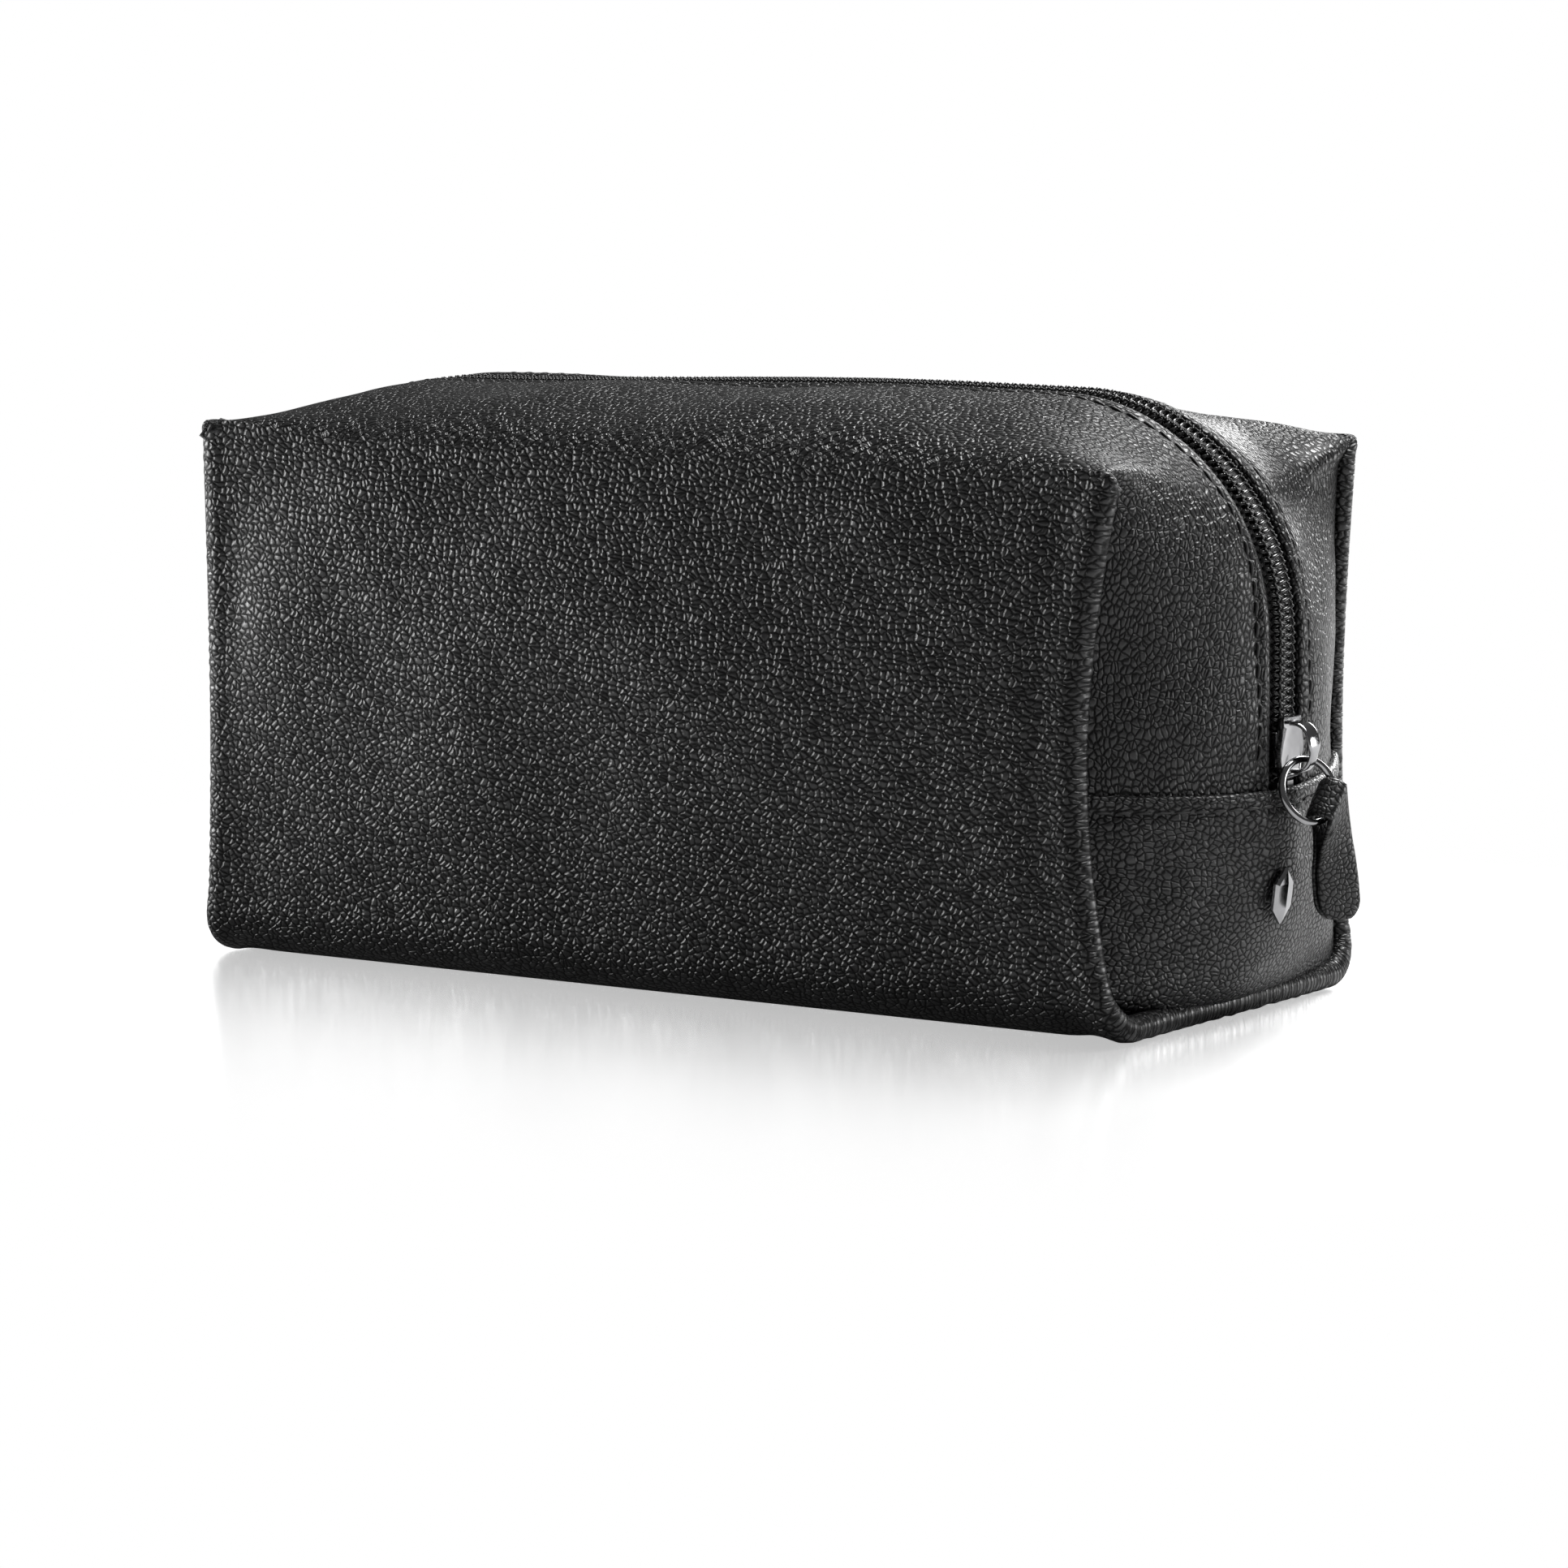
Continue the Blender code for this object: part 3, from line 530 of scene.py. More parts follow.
def weave(name, low, high, pitch, roughness, herringbone=0.0):
    """Woven cloth: crossing threads, or slanted ribs that turn back for a herringbone."""
    made, tree, shader = new_material(name)
    parts = node(tree, "ShaderNodeSeparateXYZ", None, Vector=grain_vector(tree))
    along, across = parts.outputs[0], parts.outputs[1]
    turn = 2 * math.pi / pitch
    if herringbone:
        zigzag = maths(tree, "PINGPONG", across, herringbone)
        threads = maths(tree, "SINE", maths(tree, "MULTIPLY", maths(tree, "ADD", along, zigzag), turn))
    else:
        warp_threads = maths(tree, "SINE", maths(tree, "MULTIPLY", along, turn))
        weft_threads = maths(tree, "SINE", maths(tree, "MULTIPLY", across, turn))
        threads = maths(tree, "MULTIPLY", warp_threads, weft_threads)
    level = ramp_between(tree, threads, -1.0, 1.0)
    fuzz = noise(tree, grain_vector(tree), 1.2 / pitch, 2.0).outputs["Fac"]
    height = maths(tree, "MULTIPLY_ADD", fuzz, 0.4, level)
    set_bump(tree, shader, height, 0.25 * pitch)
    tree.links.new(mix_colour(tree, level, low, high), shader.inputs["Base Color"])
    rough = maths(tree, "MULTIPLY_ADD", fuzz, 0.15, roughness - 0.07)
    tree.links.new(rough, shader.inputs["Roughness"])
    shader.inputs["Sheen Weight"].default_value = 0.15
    return made


def metal(name, low, high, roughness, scratch):
    """Plated metal with faint brushed scratches and a colour that varies a little."""
    made, tree, shader = new_material(name)
    coordinates = node(tree, "ShaderNodeTexCoord").outputs["Object"]
    stretch = node(tree, "ShaderNodeVectorMath", {"operation": "MULTIPLY"})
    tree.links.new(coordinates, stretch.inputs[0])
    stretch.inputs[1].default_value = (1, 1, 0.15)
    lines = noise(tree, stretch.outputs[0], 2600.0, 3.0).outputs["Fac"]
    cloud = noise(tree, coordinates, 260.0, 2.0).outputs["Fac"]
    set_bump(tree, shader, lines, scratch)
    tree.links.new(mix_colour(tree, cloud, low, high), shader.inputs["Base Color"])
    rough = maths(tree, "MULTIPLY_ADD", cloud, 0.12, roughness - 0.06)
    tree.links.new(rough, shader.inputs["Roughness"])
    shader.inputs["Metallic"].default_value = 1.0
    return made


def plain(name, low, high, roughness, scale, depth):
    """Felt, board or moulded plastic: noise in colour, roughness and relief."""
    made, tree, shader = new_material(name)
    coordinates = node(tree, "ShaderNodeTexCoord").outputs["Object"]
    speckle = noise(tree, coordinates, scale, 4.0).outputs["Fac"]
    set_bump(tree, shader, speckle, depth)
    tree.links.new(mix_colour(tree, speckle, low, high), shader.inputs["Base Color"])
    rough = maths(tree, "MULTIPLY_ADD", speckle, 0.16, roughness - 0.08)
    tree.links.new(rough, shader.inputs["Roughness"])
    return made


def grey(value, tint=0.0):
    return (value, value, value * (1 + tint))


FINISHES = {
    "leather": leather("leather", 1.2 * MM, 0.19 * MM, grey(0.0015), grey(0.007, 0.04), 0.35),
    "pull": leather("pull_leather", 1 * MM, 0.06 * MM, grey(0.003), grey(0.007, 0.04), 0.34),
    "lining": weave("lining_cloth", grey(0.012), grey(0.034, 0.08), 0.55 * MM, 0.7),
    "binding": weave("binding_tape", grey(0.008), grey(0.022), 0.8 * MM, 0.7),
    "tape": weave("zip_tape_cloth", grey(0.002), grey(0.006), 0.7 * MM, 0.78, 1.1 * MM),
    "coil": plain("coil_nylon", grey(0.012), grey(0.024), 0.2, 900.0, 0.01 * MM),
    "thread": plain("sewing_thread", grey(0.006), grey(0.014), 0.5, 3000.0, 0.05 * MM),
    "felt": plain("felt", (0.26, 0.25, 0.23), (0.36, 0.35, 0.33), 0.9, 900.0, 0.3 * MM),
    "board": plain("fibre_board", (0.22, 0.17, 0.11), (0.34, 0.27, 0.19), 0.85, 700.0, 0.1 * MM),
    "steel": metal("blackened_steel", grey(0.12), grey(0.24), 0.32, 0.01 * MM),
    "nickel": metal("dark_nickel", grey(0.22, 0.02), grey(0.42, 0.02), 0.13, 0.003 * MM),
}

# ---------------------------------------------------------------- surfaces of the bag


def wrap_end(z, end, y):
    """Half-length of the wrap at a height, to the crest of its rolled end edge."""
    back = smooth((y + FOLD_Y) / (2 * FOLD_Y))
    draw_in = DRAW_IN[end, -1] + (DRAW_IN[end, 1] - DRAW_IN[end, -1]) * back
    stand_out = STAND_OUT[end, -1] + (STAND_OUT[end, 1] - STAND_OUT[end, -1]) * back
    sides = HALF_LENGTH + stand_out - draw_in * np.sin(math.pi * np.clip(z / FOLD_Z, 0, 1))
    flared = sides + BASE_FLARE * (1 - smooth(z / (15 * MM)))
    into_tip = np.clip(z - (FOLD_Z - TIP_RADIUS), 0, TIP_RADIUS)
    return flared - (TIP_RADIUS - np.sqrt(TIP_RADIUS**2 - into_tip**2))


def end_half_depth(z):
    """Half-width of an end at a height, inside the wrap and its rounded lower edges."""
    radius = BASE_RADIUS - SEAM_TUCK
    below = np.clip(BASE_RADIUS - z, 0, radius)
    tucked = FOLD_Y - BASE_RADIUS + np.sqrt(radius**2 - below**2)
    return tucked + (FOLD_Y - tucked) * (1 - smooth((FOLD_Z - z) / (8 * MM)))


def end_edge(z, end, side):
    """Seam of the end leather at a height, mirrored into the back right quarter."""
    z = np.asarray(z, float)
    x = wrap_end(z, end, side * FOLD_Y) - SEAM_INSET[side] * smooth((FOLD_Z - z) / (4.5 * MM))
    return np.stack([x, end_half_depth(z), z], -1)


def tip_lift(x, z):
    """How far a place near the fold rises towards the upper corners."""
    near_fold = smooth((z - 60 * MM) / (FOLD_Z - 60 * MM))
    return TIP_LIFT * smooth((np.abs(x) - TIP_LIFT_START) / (TIP_LIFT_END - TIP_LIFT_START)) * near_fold


def side_swell(x, y, z):
    """How far the front or the back swells at a place between its edges."""
    length = np.where(x < 0, wrap_end(z, -1, y), wrap_end(z, 1, y))
    share = np.clip(np.abs(x) / length, 0, 1)
    across = np.maximum(np.cos(math.pi / 2 * share), 0) ** 0.6
    up = np.sin(math.pi * np.clip(z / FOLD_Z, 0, 1) ** SWELL_RISE)
    return BULGE * across * np.maximum(up, 0)


def zip_line(base_z, end, side):
    """Ridge points, their outward normals and seam points, from the top's middle to base_z."""
    step = 0.9 * MM
    corner_x, corner_z = END_X - ZIP_CORNER, TOP_Z - ZIP_CORNER
    top = np.arange(0, corner_x, step)
    angles = np.linspace(math.pi / 2, 0, round(ZIP_CORNER * math.pi / 2 / step))
    down = np.arange(corner_z - step, base_z, -step)
    down = np.append(down, base_z)
    ridge_x = [top, corner_x + ZIP_CORNER * np.cos(angles), np.full(len(down), END_X)]
    ridge_z = [np.full(len(top), TOP_Z), corner_z + ZIP_CORNER * np.sin(angles), down]
    normal_x = [np.zeros(len(top)), np.cos(angles), np.ones(len(down))]
    normal_z = [np.ones(len(top)), np.sin(angles), np.zeros(len(down))]
    x, z = np.concatenate(ridge_x), np.concatenate(ridge_z)
    ridge = stack(x, ZIP_EDGE, z)
    normal = stack(np.concatenate(normal_x), 0, np.concatenate(normal_z))

    # The seam path runs along the fold, round the tip and down the end.
    wing = end_edge(np.linspace(FOLD_Z, base_z, 700), end, side)
    fold = stack(np.linspace(0, wing[0, 0], 300)[:-1], FOLD_Y, FOLD_Z)
    seam = np.concatenate([fold, wing])
    seam_along = arc_length(seam, 0)
    ridge_along = arc_length(ridge, 0)
    turn = corner_x - 4.5 * MM
    seam_low = np.interp(-corner_z, -wing[:, 2], seam_along[len(fold) :])
    ridge_low = corner_x + ZIP_CORNER * math.pi / 2
    knots = [0, turn, ridge_low, ridge_along[-1]]
    match = np.interp(ridge_along, knots, [0, turn, seam_low, seam_along[-1]])
    edge = resample(match, seam_along, seam)
    return ridge, normal, edge, match


def sink(ridge, end):
    """Lowers the zip a little towards the left end, and not down the ends."""
    sag = ZIP_SAG * smooth((ZIP_SAG_START - end * ridge[:, 0]) / ZIP_SAG_REACH)
    ridge[:, 2] -= sag * smooth((ridge[:, 2] - 55 * MM) / (45 * MM))


def corner_turn(normal):
    """0 where the top runs, 1 where the end runs, and smooth over the corner."""
    angle = np.degrees(np.arctan2(normal[:, 2], normal[:, 0]))
    return smooth((80 - angle) / 70)


def profile(turn, depth_share, side=-1):
    """Rise from the seam to the ridge at shares of the way in, for each station."""
    t = np.linspace(0, 1, 200)
    basis = [3 * (1 - t) ** 2 * t, 3 * (1 - t) * t**2, t**3]
    rise = np.empty((len(turn), np.shape(depth_share)[-1]))
    shares = np.broadcast_to(depth_share, rise.shape)
    for i, amount in enumerate(turn):
        full = 1 if side < 0 else amount  # the back of the top is flatter than the front
        first = (0.07 + 0.07 * amount, 0.55 + 0.15 * full - 0.56 * amount)
        second = (0.6 - 0.1 * full - 0.06 * amount, 0.86 + 0.14 * full - 0.03 * amount)
        inwards = first[0] * basis[0] + second[0] * basis[1] + basis[2]
        upwards = first[1] * basis[0] + second[1] * basis[1] + basis[2]
        rise[i] = np.interp(shares[i], inwards, upwards)
    return rise


def upper_surface(end, side, shares):
    """Grid of the upper half's surface in one quarter, its normals and the way along it."""
    ridge, normal, edge, match = zip_line(TAPE_END_Z, end, side)
    sink(ridge, end)
    rise = profile(corner_turn(normal), shares, side)
    inwards = np.broadcast_to(shares, rise.shape)
    run = (edge[:, 1] - ridge[:, 1])[:, None]
    x = edge[:, 0, None] + (ridge[:, 0] - edge[:, 0])[:, None] * rise
    z = edge[:, 2, None] + (ridge[:, 2] - edge[:, 2])[:, None] * rise
    z = z + tip_lift(edge[:, 0], edge[:, 2])[:, None] * (1 - smooth(inwards * 1.6))
    y = edge[:, 1, None] - run * inwards
    points = stack(end * x, side * y, z)
    out = stack(end * normal[:, 0], 0, normal[:, 2])
    lean = stack(0, side * (1 - rise), 0)
    if side > 0:
        spot = bump(points[..., 0] - HUMP_X, HUMP_LENGTH) * bump(points[..., 1] - HUMP_Y, HUMP_WIDTH)
        points[..., 2] += HUMP_HEIGHT * spot
        sunk = smooth((end * points[..., 0] - BACK_SAG_START) / BACK_SAG_REACH) * np.sin(math.pi * inwards)
        points[..., 2] -= BACK_SAG * sunk
    normals = grid_normals(points, out[:, None] + lean)
    away = smooth(run * inwards / (8 * MM)) * smooth(run * (1 - inwards) / (6 * MM))
    drift = waves(points, 34 * MM, 4) * 0.5 * MM + waves(points, 13 * MM, 9) * 0.12 * MM
    points = points + normals * (drift * away)[..., None]
    return points, grid_normals(points, out[:, None] + lean), out, match


# ---------------------------------------------------------------- leather


def wrap_rows(top_z, side_step, arc_steps, base_steps):
    """Section of the wrap (y, z and normal) down the front, over the base and up the back."""
    flat = FOLD_Y - BASE_RADIUS
    near_fold = top_z - 3 * MM * np.linspace(0, 1, 9) ** 1.3
    count = round((near_fold[-1] - BASE_RADIUS) / side_step)
    z_side = np.concatenate([near_fold, np.linspace(near_fold[-1], BASE_RADIUS, count)[1:]])
    angles = np.linspace(0, math.pi / 2, arc_steps)[1:]
    y_base = np.linspace(-flat, flat, base_steps)[1:-1]
    front_y = np.concatenate([np.full(len(z_side), -FOLD_Y), -flat - BASE_RADIUS * np.cos(angles)])
    front_z = np.concatenate([z_side, BASE_RADIUS * (1 - np.sin(angles))])
    front_ny = np.concatenate([np.full(len(z_side), -1.0), -np.cos(angles)])
    front_nz = np.concatenate([np.zeros(len(z_side)), -np.sin(angles)])
    zero = np.zeros(len(y_base))
    y = np.concatenate([front_y, y_base, -front_y[::-1]])
    z = np.concatenate([front_z, zero, front_z[::-1]])
    ny = np.concatenate([front_ny, zero, -front_ny[::-1]])
    nz = np.concatenate([front_nz, zero - 1, front_nz[::-1]])
    return y, z, ny, nz


def wrap_points(y, z, ny, nz, x):
    """Points of the wrap's outer surface at each x (rows by columns), with section normals."""
    on_side = np.clip((np.abs(y) - (FOLD_Y - BASE_RADIUS)) / BASE_RADIUS, 0, 1)[:, None]
    swell = side_swell(x, y[:, None], z[:, None]) * on_side * np.sign(y)[:, None]
    points = stack(x, y[:, None] + swell, z[:, None] + tip_lift(x, z[:, None]))
    return points, stack(0 * x, ny[:, None], nz[:, None])


def make_wrap():
    """Sleeve of leather with rolled end edges: outer side, lips and inner side in one."""
    y, z, ny, nz = wrap_rows(FOLD_Z, 0.6 * MM, 26, 46)
    lip = (0.8 * MM + (LIP_RADIUS - 0.8 * MM) * smooth((FOLD_Z - z) / (4 * MM)))[:, None]
    crest = {end: wrap_end(z, end, y)[:, None] - lip for end in ENDS.values()}
    near = np.concatenate([np.arange(0, 8, 0.55), [8.0]]) * MM
    middle = np.linspace(-1, 1, 112)[1:-1]
    right_x, left_x = crest[1] - near[None, ::-1], -(crest[-1] - near[None])

    def between(start, stop, shares):
        return start + (stop - start) * shares

    outer_middle = between(left_x[:, -1:], right_x[:, :1], (middle + 1) / 2)
    outer_x = np.concatenate([left_x, outer_middle, right_x], 1)
    bow = np.linspace(0, math.pi, 13)[1:-1]
    bow_depth = lip * (1 - np.cos(bow))
    right_bow, left_bow = (side * (crest[side] + lip * np.sin(bow)) for side in (1, -1))
    inset = np.array([0, 1, 2, 3, 4, 5, 6, 8]) * MM
    right_inner, left_inner = crest[1] - inset, -(crest[-1] - inset[::-1])
    taper = 2 * lip + (LEATHER - 2 * lip) * smooth(inset / (6 * MM))
    inner_middle = between(right_inner[:, -1:], left_inner[:, :1], np.linspace(0, 1, 30)[1:-1])
    x = np.concatenate([outer_x, right_bow, right_inner, inner_middle, left_inner, left_bow[:, ::-1]], 1)
    flat_depth = np.full(inner_middle.shape, LEATHER)
    depths = [0 * outer_x, bow_depth, taper, flat_depth, taper[:, ::-1], bow_depth[:, ::-1]]
    depth = np.concatenate(depths, 1)
    base, normals = wrap_points(y, z, ny, nz, x)
    down = arc_length(np.stack([y, z], -1), 0)[:, None]
    from_edge = np.maximum(np.where(x > 0, crest[1], crest[-1]) - np.abs(x), 0)

    # The rolled edge is a raised cord with a sunk seam inside it and small cross wrinkles.
    facing = smooth((LEATHER * 1.3 - depth) / LEATHER)
    tip_fade = smooth((FOLD_Z - z) / (7 * MM))[:, None]
    valley = np.where(x > 0, 0.42, 0.12) * MM  # deeper at the right end
    relief = 0.4 * MM * bump(from_edge - 0.8 * MM, 1.8 * MM) - valley * bump(from_edge - 6.5 * MM, 3 * MM)
    spot = stack(np.sign(x) * 0.3, down, np.sign(y)[:, None] * 0.2)
    phase = down / (2.3 * MM) * 2 * math.pi + 2.4 * waves(spot, 15 * MM, 21)
    strength = 0.5 + 0.5 * waves(spot, 9 * MM, 22)
    wrinkle = 0.17 * MM * np.cos(phase) * strength * np.exp(-from_edge / (3.5 * MM))
    drift = waves(base, 42 * MM, 1) * 0.55 * MM + waves(base, 15 * MM, 2) * 0.14 * MM
    away = smooth((FOLD_Z - z) / (9 * MM))[:, None] * smooth(z / (6 * MM))[:, None]
    move = (relief + wrinkle) * tip_fade * np.maximum(facing, 0.25)
    move = move + drift * away * smooth(from_edge / (9 * MM))
    points = base - normals * (depth - move)[..., None]
    grain = stack(x, down, 0)
    faces = quads(len(y), x.shape[1], False, True)
    made = make_piece("wrap_leather", points, faces, "leather", "body_leather", grain)
    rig.replaces(made, "body_wrap")
    join_to(made, "bag")


def upper_columns():
    """Shares of the way from the seam to the zip edge, closest near both."""
    stretches = (np.linspace(0, 0.1, 9), np.linspace(0.1, 0.86, 36)[1:], np.linspace(0.86, 1, 22)[1:])
    t = np.concatenate(stretches)
    return 3 * (1 - t) ** 2 * t * 0.06 + 3 * (1 - t) * t**2 * 0.5 + t**3


def make_upper(end_name, side_name):
    """Upper leather of one quarter, with its folded edge beside the zip."""
    end, side = ENDS[end_name], SIDES[side_name]
    shares = upper_columns() * (1 - HEM_SET_BACK / (FOLD_Y - ZIP_EDGE))
    points, normals, out, match = upper_surface(end, side, shares)
    ridge_along = arc_length(points[:, -1], 0)[:, None]
    to_zip = (FOLD_Y - ZIP_EDGE) * (shares[-1] - shares)[None, :]
    pitch = 2 * math.pi / STITCH_PITCH
    row = bump(to_zip - ZIP_STITCH_INSET, PUCKER_WIDTH)
    pucker = -PUCKER * row * (1 - 0.45 * np.cos(ridge_along * pitch))
    swell = 0.22 * MM * bump(to_zip - 1.1 * MM, 0.9 * MM)
    points = points + normals * (pucker + swell)[..., None]

    towards_zip = np.array([0, -side, 0])
    hem = folded_edge(points[:, -1], towards_zip, out, 10)
    under = [hem[-1] - towards_zip * d * MM for d in (1.5, 4.0)]
    inner_at = np.linspace(points.shape[1] - 14, 0, 16).round().astype(int)
    inner = points[:, inner_at] - normals[:, inner_at] * LEATHER
    loop = np.concatenate([points, np.stack(hem + under, 1), inner], 1)
    width = arc_length(points, 1)
    beyond = width[:, -1:] + arc_length(loop[:, len(shares) - 1 :], 1)[:, 1:]
    drop = np.concatenate([width, beyond], 1)
    grain = stack(end * match[:, None], -drop, 0)
    faces = quads(len(loop), loop.shape[1], False, True)
    name = f"{side_name}_{end_name}"
    made = make_piece(f"upper_leather_{name}", loop, faces, "leather", "body_leather", grain)
    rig.replaces(made, *quarter_nodes(f"shoulder_{name}", f"top_flap_{side_name}", end))
    join_to(made, f"{side_name}_flap", end)

    column = int(np.argmin(np.abs(to_zip[0] - ZIP_STITCH_INSET)))
    above = points[:, column] + normals[:, column] * 0.1 * MM
    visible = above[:, 2] > PANEL_TOP_Z + 1 * MM
    thread_points, thread_faces = stitches(above[visible], normals[visible, column])
    thread = make_piece(f"zip_stitches_{name}", thread_points, thread_faces, "thread", "body_leather")
    join_to(thread, f"{side_name}_flap", end)


# ---------------------------------------------------------------- zip


def ridge_frame(end):
    """Middle of the zip from the top's middle to the coil's end, with its outward normals."""
    ridge, normal, _, _ = zip_line(COIL_END_Z, end, 1)
    sink(ridge, end)
    return stack(end * ridge[:, 0], 0, ridge[:, 2]), stack(end * normal[:, 0], 0, normal[:, 2])


def make_coil(end_name, side_name):
    """One half of the nylon coil, as a flattened helix, and the thread that sews it down."""
    end, side = ENDS[end_name], SIDES[side_name]
    path, out = ridge_frame(end)
    along = arc_length(path, 0)
    turns = along[-1] / COIL_PITCH
    at = np.linspace(0, along[-1], int(turns * 16))
    centre = resample(at, along, path)
    up = unit(resample(at, along, out))
    angle = end * at / COIL_PITCH * 2 * math.pi + (math.pi if side > 0 else 0)
    reach = (1.35 + 1.65 * np.cos(angle)) * MM
    sideways = np.array([0, side, 0])
    height = (0.72 * np.sin(angle) - 0.95) * MM
    strand = centre + sideways * reach[:, None] + up * height[:, None]
    tangent = unit(np.gradient(strand, axis=0))
    across = unit(np.cross(tangent, [0.3, 0.2, 0.9]))  # any direction off the strand will do
    points, faces = tube(strand, across, unit(np.cross(tangent, across)), 0.35 * MM, 8)
    name = f"{side_name}_{end_name}"
    coil = make_piece(f"coil_{name}", points, faces, "coil", "zip_coil")
    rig.replaces(coil, *quarter_nodes(f"zip_coil_{name}", f"zip_coil_{side_name}_top", end))
    join_to(coil, f"{side_name}_flap", end)

    zigzag = (2.25 + 0.3 * np.cos(angle)) * MM
    lift = (0.08 + 0.14 * np.sin(angle * 2)) * MM
    thread = centre + sideways * zigzag[:, None] + up * lift[:, None]
    tangent = unit(np.gradient(thread, axis=0))
    across = unit(np.cross(up, tangent))
    points, faces = tube(thread, across, up, 0.2 * MM, 6)
    sewn = make_piece(f"coil_thread_{name}", points, faces, "thread", "zip_coil")
    join_to(sewn, f"{side_name}_flap", end)


def make_tape(end_name, side_name):
    """Woven tape that carries the coil and runs under the leather's folded edge."""
    end, side = ENDS[end_name], SIDES[side_name]
    run = FOLD_Y - ZIP_EDGE
    shares = 1 - np.linspace(8.0, 0, 6) * MM / run
    points, normals, out, _ = upper_surface(end, side, shares)
    rim = points[:, -1:]
    steps = np.linspace(0, ZIP_EDGE - 0.75 * MM, 8)[1:]
    open_part = rim + np.array([0, -side, 0]) * steps[None, :, None]
    surface = np.concatenate([points, open_part], 1)
    facing = np.concatenate([normals, np.broadcast_to(out[:, None], open_part.shape)], 1)
    shell, faces = slab(surface, facing, TAPE_DEPTH, TAPE_DEPTH + 0.6 * MM)
    along = arc_length(rim[:, 0], 0)[:, None]
    layer = stack(along, np.abs(surface[..., 1]), 0).reshape(-1, 3)
    name = f"{side_name}_{end_name}"
    made = make_piece(f"tape_{name}", shell, faces, "tape", "zip_tape", np.tile(layer, (2, 1)))
    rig.replaces(made, *quarter_nodes(f"zip_tape_{name}", f"zip_tape_{side_name}_top", end))
    join_to(made, f"{side_name}_flap", end)


# ---------------------------------------------------------------- end panels


def panel_surface(end, shares_down, columns, top_z=PANEL_TOP_Z):
    """Grid over a lower end panel: rows go down, columns from the front seam to the back one."""
    z = top_z + (PANEL_BASE_Z - top_z) * np.sin(shares_down * math.pi / 2)
    down = np.clip((PANEL_TOP_Z - z) / (PANEL_TOP_Z - PANEL_BASE_Z), 0, 1)
    ridge_x = PANEL_FOOT_X + (PANEL_X - PANEL_FOOT_X) * np.sqrt(1 - down**3)
    front, back = end_edge(z, end, -1), end_edge(z, end, 1)
    edge_x = front[:, :1] + (back - front)[:, :1] * smooth((columns + 1) / 2)
    inwards = 1 - np.abs(columns)
    rise = profile(np.ones(len(z)), inwards)
    proud = PANEL_PROUD * smooth(inwards / 0.12) * (1 - smooth(inwards / 0.9))
    x = edge_x + (ridge_x[:, None] - edge_x) * rise + proud[None, :] * (1 - down)[:, None]
    y = back[:, 1, None] * columns[None, :]
    dip = PANEL_DIP * (1 - down)[:, None] ** 6 * rise
    points = stack(end * x, y, z[:, None] - dip)
    side = stack(end, y / FOLD_Y, -0.6 * down[:, None])
    normals = grid_normals(points, side)
    fade = smooth(inwards / 0.15)[None, :] * smooth(down / 0.12)[:, None]
    fade = fade * smooth((1 - down) / 0.15)[:, None]
    drift = 0.45 * MM * waves(points, 22 * MM, 31) + 0.12 * MM * waves(points, 9 * MM, 32)
    points = points + normals * (drift * fade)[..., None]
    return points, grid_normals(points, side)


